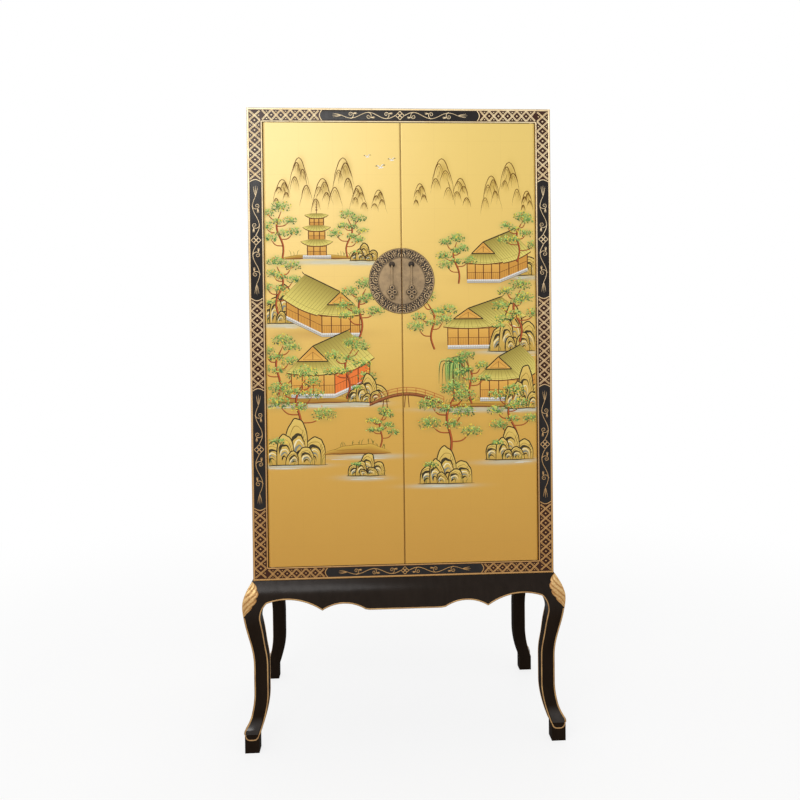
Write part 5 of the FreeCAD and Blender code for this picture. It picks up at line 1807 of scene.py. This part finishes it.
    def make(self, names, bodies):
        """Makes each panel's gold sheet and its brush marks, cut at the panel's own edges."""
        for sheet, name, body in zip(self.sheets, names, bodies):
            gold = Shell()
            gold.add(sheet.grid, sheet.wash)
            gold.make(name + "_gold", GOLD_LEAF, body, "gold_leaf")
            paint = Shell()
            for grid, colour in self.marks:
                flat = np.clip(grid[..., :2], sheet.low, sheet.high)
                paint.add(sheet.face.place(flat, grid[..., 2]), colour)
            paint.make(name + "_landscape", BRUSH_PAINT, body, "gold_leaf", smooth=False)


GOLD_LIFT = 0.06
EDGE_RADIUS = 12.5
PIVOT_INSET = 11.0
SEAM_ARRIS = 0.4
SEAM_WRAP = 12.0
SEAM_LIP = 2.4
SEAM_LIP_DEPTH = 7.0
EDGE_WRAP = 3.0
GOLD_CELL = 4.0
DOOR_SEED = 11
SIDE_SEEDS = (23, 37)


def door_sheet(side):
    """A door's gold: over a small arris out of the seam, flat across, then round the arc of the hinge edge.

    The arc's middle is the pivot, and the sheet ends a little way back along the door's edge.
    """
    seam, edge = -LEAF_HIGH[0], -LEAF_LOW[0]
    pivot = edge - PIVOT_INSET
    first, last = math.acos(PIVOT_INSET / EDGE_RADIUS), math.asin(PIVOT_INSET / EDGE_RADIUS)
    flat_end = pivot + EDGE_RADIUS * math.sin(first)
    run = np.linspace(seam + SEAM_ARRIS, flat_end, 134)
    turn = np.linspace(first, last, 7)[1:]
    radius = EDGE_RADIUS + 2 * GOLD_LIFT
    lip = seam - GOLD_LIFT
    out = np.concatenate([[lip, lip], run, pivot + radius * np.sin(turn), [edge + GOLD_LIFT]])
    arc = PIVOT_INSET - radius * np.cos(turn)
    tail = [PIVOT_INSET + EDGE_WRAP]
    back = np.concatenate([[SEAM_WRAP, SEAM_ARRIS], 0 * run - GOLD_LIFT, arc, tail])
    if side < 0:
        out, back = out[::-1], back[::-1]
    up = np.linspace(LEAF_LOW[2], LEAF_HIGH[2], 438)
    flat = np.stack(np.meshgrid(side * out, up, indexing="ij"), -1)
    low, high = sorted((side * seam, side * flat_end))
    grid = FRONT_FACE.place(flat, -back[:, None])
    return Sheet(FRONT_FACE, flat, grid, (low, LEAF_LOW[2]), (high, LEAF_HIGH[2]))


def make_seam_lip():
    """A narrow gilt rebate on the left door that closes the sight line through the seam.

    Behind the lock plate it is painted dark brown, as painted shade in the seam.
    """
    seam = -LEAF_HIGH[0]
    up = np.linspace(LEAF_LOW[2], LEAF_HIGH[2], 240)
    # Painted shade: dark brown over the lip's run behind the lock plate
    shade = (np.abs(up - PLATE_MIDDLE_Z) < PLATE_RADIUS)[:, None] * np.array([*POST, 1.0])
    flat = np.stack(np.meshgrid([-seam, SEAM_LIP - seam], up, indexing="ij"), -1)
    lip = Shell()
    lip.add(FRONT_FACE.place(flat, -SEAM_LIP_DEPTH), shade)
    lip.make("left_door_seam_lip", GOLD_LEAF, "left_door", "gold_leaf")


def paint_doors():
    """The doors' landscape: peaks above, a tower and halls among trees on both shores, a bridge between."""
    scene = Painting([door_sheet(-1), door_sheet(1)], DOOR_SEED)
    for x, z, w, h, lean in (
        (-352, 1590, 74, 96, 3),
        (-296, 1610, 84, 140, -4),
        (-236, 1585, 78, 104, 5),
        (-176, 1600, 96, 150, 6),
        (-122, 1580, 64, 88, -4),
        (-66, 1585, 56, 70, 0),
        (60, 1590, 60, 84, -3),
        (118, 1600, 98, 148, 5),
        (182, 1590, 72, 100, -4),
        (268, 1585, 76, 112, 3),
        (330, 1600, 90, 138, -5),
        (378, 1580, 50, 72, 0),
    ):
        scene.mountain(x, z, w, h, lean)
    scene.cranes(((-60, 1720, 15), (-26, 1742, 12), (-98, 1752, 11)))
    scene.shore(-360, -110, 1452, 16)
    scene.tree(-352, 1452, 170, -10, 0.4)
    scene.tower(-250, 1462, 82, 3)
    scene.tree(-160, 1456, 140, 10, 0.25)
    scene.rocks(-112, 1446, 56, 0.9)
    scene.rocks(350, 1400, 84, 1.1)
    scene.hall(196, 1388, 98, 52, 60, (84, 34))
    scene.tree(170, 1376, 150, -12, 0.3)
    scene.tree(346, 1440, 150, 12, 0.5)
    scene.rocks(-352, 1262, 92, 1.3)
    scene.tree(-366, 1290, 170, 8, 0.5)
    scene.hall(-238, 1232, 112, 56, 66, (-104, 52))
    scene.tree(-128, 1216, 178, 12, 0.4)
    scene.tree(96, 1180, 176, -14, 0.5)
    scene.hall(136, 1192, 124, 56, 54, (100, 34))
    scene.rocks(334, 1172, 104, 1.4)
    scene.tree(352, 1200, 190, -8, 0.7)
    scene.shore(-396, -110, 1026, 28)
    scene.tree(-372, 1040, 190, 10, 0.5)
    scene.hall(-330, 1052, 128, 64, 78, (104, 46), ORANGE_WALL)
    scene.tree(-168, 1036, 186, 12, 0.5)
    scene.rocks(-104, 1026, 84, 1.0)
    scene.shore(96, 398, 1006, 26)
    scene.bridge(-100, 122, 1022, 30)
    scene.willow(150, 1024, 130)
    scene.hall(232, 1034, 112, 58, 64, (66, 36))
    scene.tree(206, 1016, 160, -10, 0.6)
    scene.rocks(366, 1000, 84, 1.5)
    scene.tree(-316, 918, 216, 16, 0.6, 1.05)
    scene.rocks(-322, 842, 124, 1.1)
    scene.shore(-236, -36, 872, 34)
    scene.tree(-70, 890, 120, 8, 0.5)
    scene.rocks(-112, 806, 76, 0.9)
    scene.tree(134, 850, 236, 10, 0.8, 1.0)
    scene.rocks(126, 778, 110, 1.0)
    scene.tree(336, 884, 190, -12, 0.7)
    scene.rocks(320, 846, 98, 1.0)
    scene.make(["left_door", "right_door"], ["left_door", "right_door"])


def paint_sides():
    """One tree on rocks under a few peaks, on each side panel."""
    inner = DEPTH_HALF - STILE_WIDTH
    low, high = (-inner, CASE_FOOT + BOTTOM_RAIL), (inner, CASE_HEAD - TOP_RAIL)
    peaks = ((-110, 1540, 84, 128), (-38, 1560, 58, 92), (70, 1530, 96, 150), (140, 1550, 60, 90))
    for face, name, seed in zip((LEFT_FACE, RIGHT_FACE), ("left_side", "right_side"), SIDE_SEEDS):
        gold = flat_sheet(face, low, high, GOLD_CELL, GOLD_LIFT)
        side = Painting([Sheet(face, *gold, low, high)], seed)
        for x, z, w, h in peaks:
            side.mountain(x, z, w, h, 4)
        side.shore(-150, 60, 1210, 18)
        side.hall(-110, 1232, 92, 50, 54, (76, 34))
        side.tree(-140, 1215, 130, -8, 0.4)
        side.tree(60, 1205, 120, 10, 0.3)
        side.rocks(110, 1195, 74, 1.0)
        side.shore(-60, 180, 925, 26)
        side.tree(70, 945, 210, -14, 0.7)
        side.rocks(54, 915, 110, 1.0)
        side.tree(-130, 850, 160, 10, 0.8)
        side.rocks(-120, 826, 92, 1.0)
        side.make([name], ["cabinet"])


# Stage

FLOOR_HALF = 40.0
FLOOR_TONES = (0.93, 0.95)
FLOOR_WHITE = 0.80
SHADOW_REACH = (1.0, 3.2)
SKY_LIGHT = 0.66

# Name, place, target, size and power of each lamp, in metres and watts

LAMPS = (
    ("key", (-0.80, -2.75, 2.45), (0, 0, 1.1), (1.7, 0.6), 27.0),
    ("fill", (-3.0, -3.0, 2.4), (0, 0, 1.2), (2.4, 2.4), 8.0),
    ("back", (0.5, 3.2, 3.2), (0, 0, 1.0), (2.4, 2.4), 30.0),
)


def make_stage():
    """A pale floor, a white surround, soft lamps and a camera with the photograph's view."""
    floor = Finish("floor_paint")
    cloud = floor.noise(floor.place(), 2.0)
    floor.wear(Base_Color=floor.blend(cloud, *(grey(tone) for tone in FLOOR_TONES)), Roughness=0.9)
    whiten_floor(floor)
    mesh = bpy.data.meshes.new("floor")
    ways = ((-1, -1), (1, -1), (1, 1), (-1, 1))
    mesh.from_pydata([(x * FLOOR_HALF, y * FLOOR_HALF, 0) for x, y in ways], [], [(0, 1, 2, 3)])
    mesh.materials.append(floor.material)
    plane = bpy.data.objects.new("floor", mesh)
    bpy.context.scene.collection.objects.link(plane)
    make_surround()
    for lamp in LAMPS:
        make_lamp(*lamp)
    make_camera()


def whiten_floor(floor):
    """Shows the floor to the camera and mirrors mostly as plain white, and wholly so past the shadow."""
    white = floor.node("ShaderNodeEmission", None, {"Color": (1.0, 1.0, 1.0), "Strength": 1.0})
    x, y, _ = floor.axes(floor.place())
    away = floor.between((x * x + y * y) ** 0.5, *SHADOW_REACH)
    share = floor.seen() * (away * (1 - FLOOR_WHITE) + FLOOR_WHITE)
    mix = floor.node("ShaderNodeMixShader", None, [share, Value(floor, floor.skin.outputs[0]), white])
    floor.feed(floor.nodes["Material Output"].inputs["Surface"], mix)


def make_surround():
    """White where the camera and reflections look, and a softer white as light."""
    surround = Surround("surround")
    bpy.context.scene.world = surround.world
    light = surround.node("ShaderNodeMapRange", None, {"Value": surround.seen(), "To Min": SKY_LIGHT})
    surround.wear(Color=(1.0, 1.0, 1.0), Strength=light)


def make_lamp(name, place, target, size, power):
    """A soft oval lamp at a place, turned towards its target."""
    lamp = bpy.data.lights.new(name, "AREA")
    lamp.shape, lamp.energy = "ELLIPSE", power
    lamp.size, lamp.size_y = size
    made = bpy.data.objects.new(name, lamp)
    bpy.context.scene.collection.objects.link(made)
    back = unit(np.array(place, float) - np.array(target, float))
    right = unit(np.cross([0, 0, 1.0], back))
    set_pose(made, right, np.cross(back, right), back, place)


def set_pose(made, right, up, back, place):
    """Turns an object so that its own X, Y and Z lie along right, up and back."""
    turn = np.eye(4)
    turn[:3, :3] = np.stack([right, up, back], 1)
    turn[:3, 3] = place
    made.matrix_world = Matrix(turn.tolist())


# Camera fitted to the photograph: metres, degrees, millimetres of lens, and shares of the frame

CAMERA_PLACE = (-0.100, -2.609, 1.213)
CAMERA_YAW, CAMERA_PITCH, CAMERA_ROLL = (math.radians(angle) for angle in (3.40, -0.97, -0.63))
CAMERA_LENS = 35.64
CAMERA_SENSOR = 36.0
CAMERA_SHIFT = (-0.02, -0.06)


def make_camera():
    """The camera: turned by its yaw and pitch, then rolled about its own line of sight."""
    cos_pitch = math.cos(CAMERA_PITCH)
    sin_yaw, cos_yaw = math.sin(CAMERA_YAW), math.cos(CAMERA_YAW)
    ahead = np.array([sin_yaw * cos_pitch, cos_yaw * cos_pitch, math.sin(CAMERA_PITCH)])
    level = np.array([cos_yaw, -sin_yaw, 0.0])
    over = np.cross(level, ahead)
    right = math.cos(CAMERA_ROLL) * level + math.sin(CAMERA_ROLL) * over
    up = math.cos(CAMERA_ROLL) * over - math.sin(CAMERA_ROLL) * level
    camera = bpy.data.cameras.new("camera")
    camera.lens, camera.sensor_width = CAMERA_LENS, CAMERA_SENSOR
    camera.shift_x, camera.shift_y = CAMERA_SHIFT
    made = bpy.data.objects.new("camera", camera)
    bpy.context.scene.collection.objects.link(made)
    set_pose(made, right, up, -ahead, CAMERA_PLACE)
    bpy.context.scene.camera = made


def main():
    """Dresses the boards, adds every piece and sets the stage."""
    bpy.context.scene.view_settings.view_transform = "Standard"
    dress_boards()
    make_borders()
    make_stand_lines()
    make_toes()
    make_knee_leaves()
    make_lock_plates()
    make_pulls()
    make_seam_lip()
    paint_doors()
    paint_sides()
    make_stage()


main()
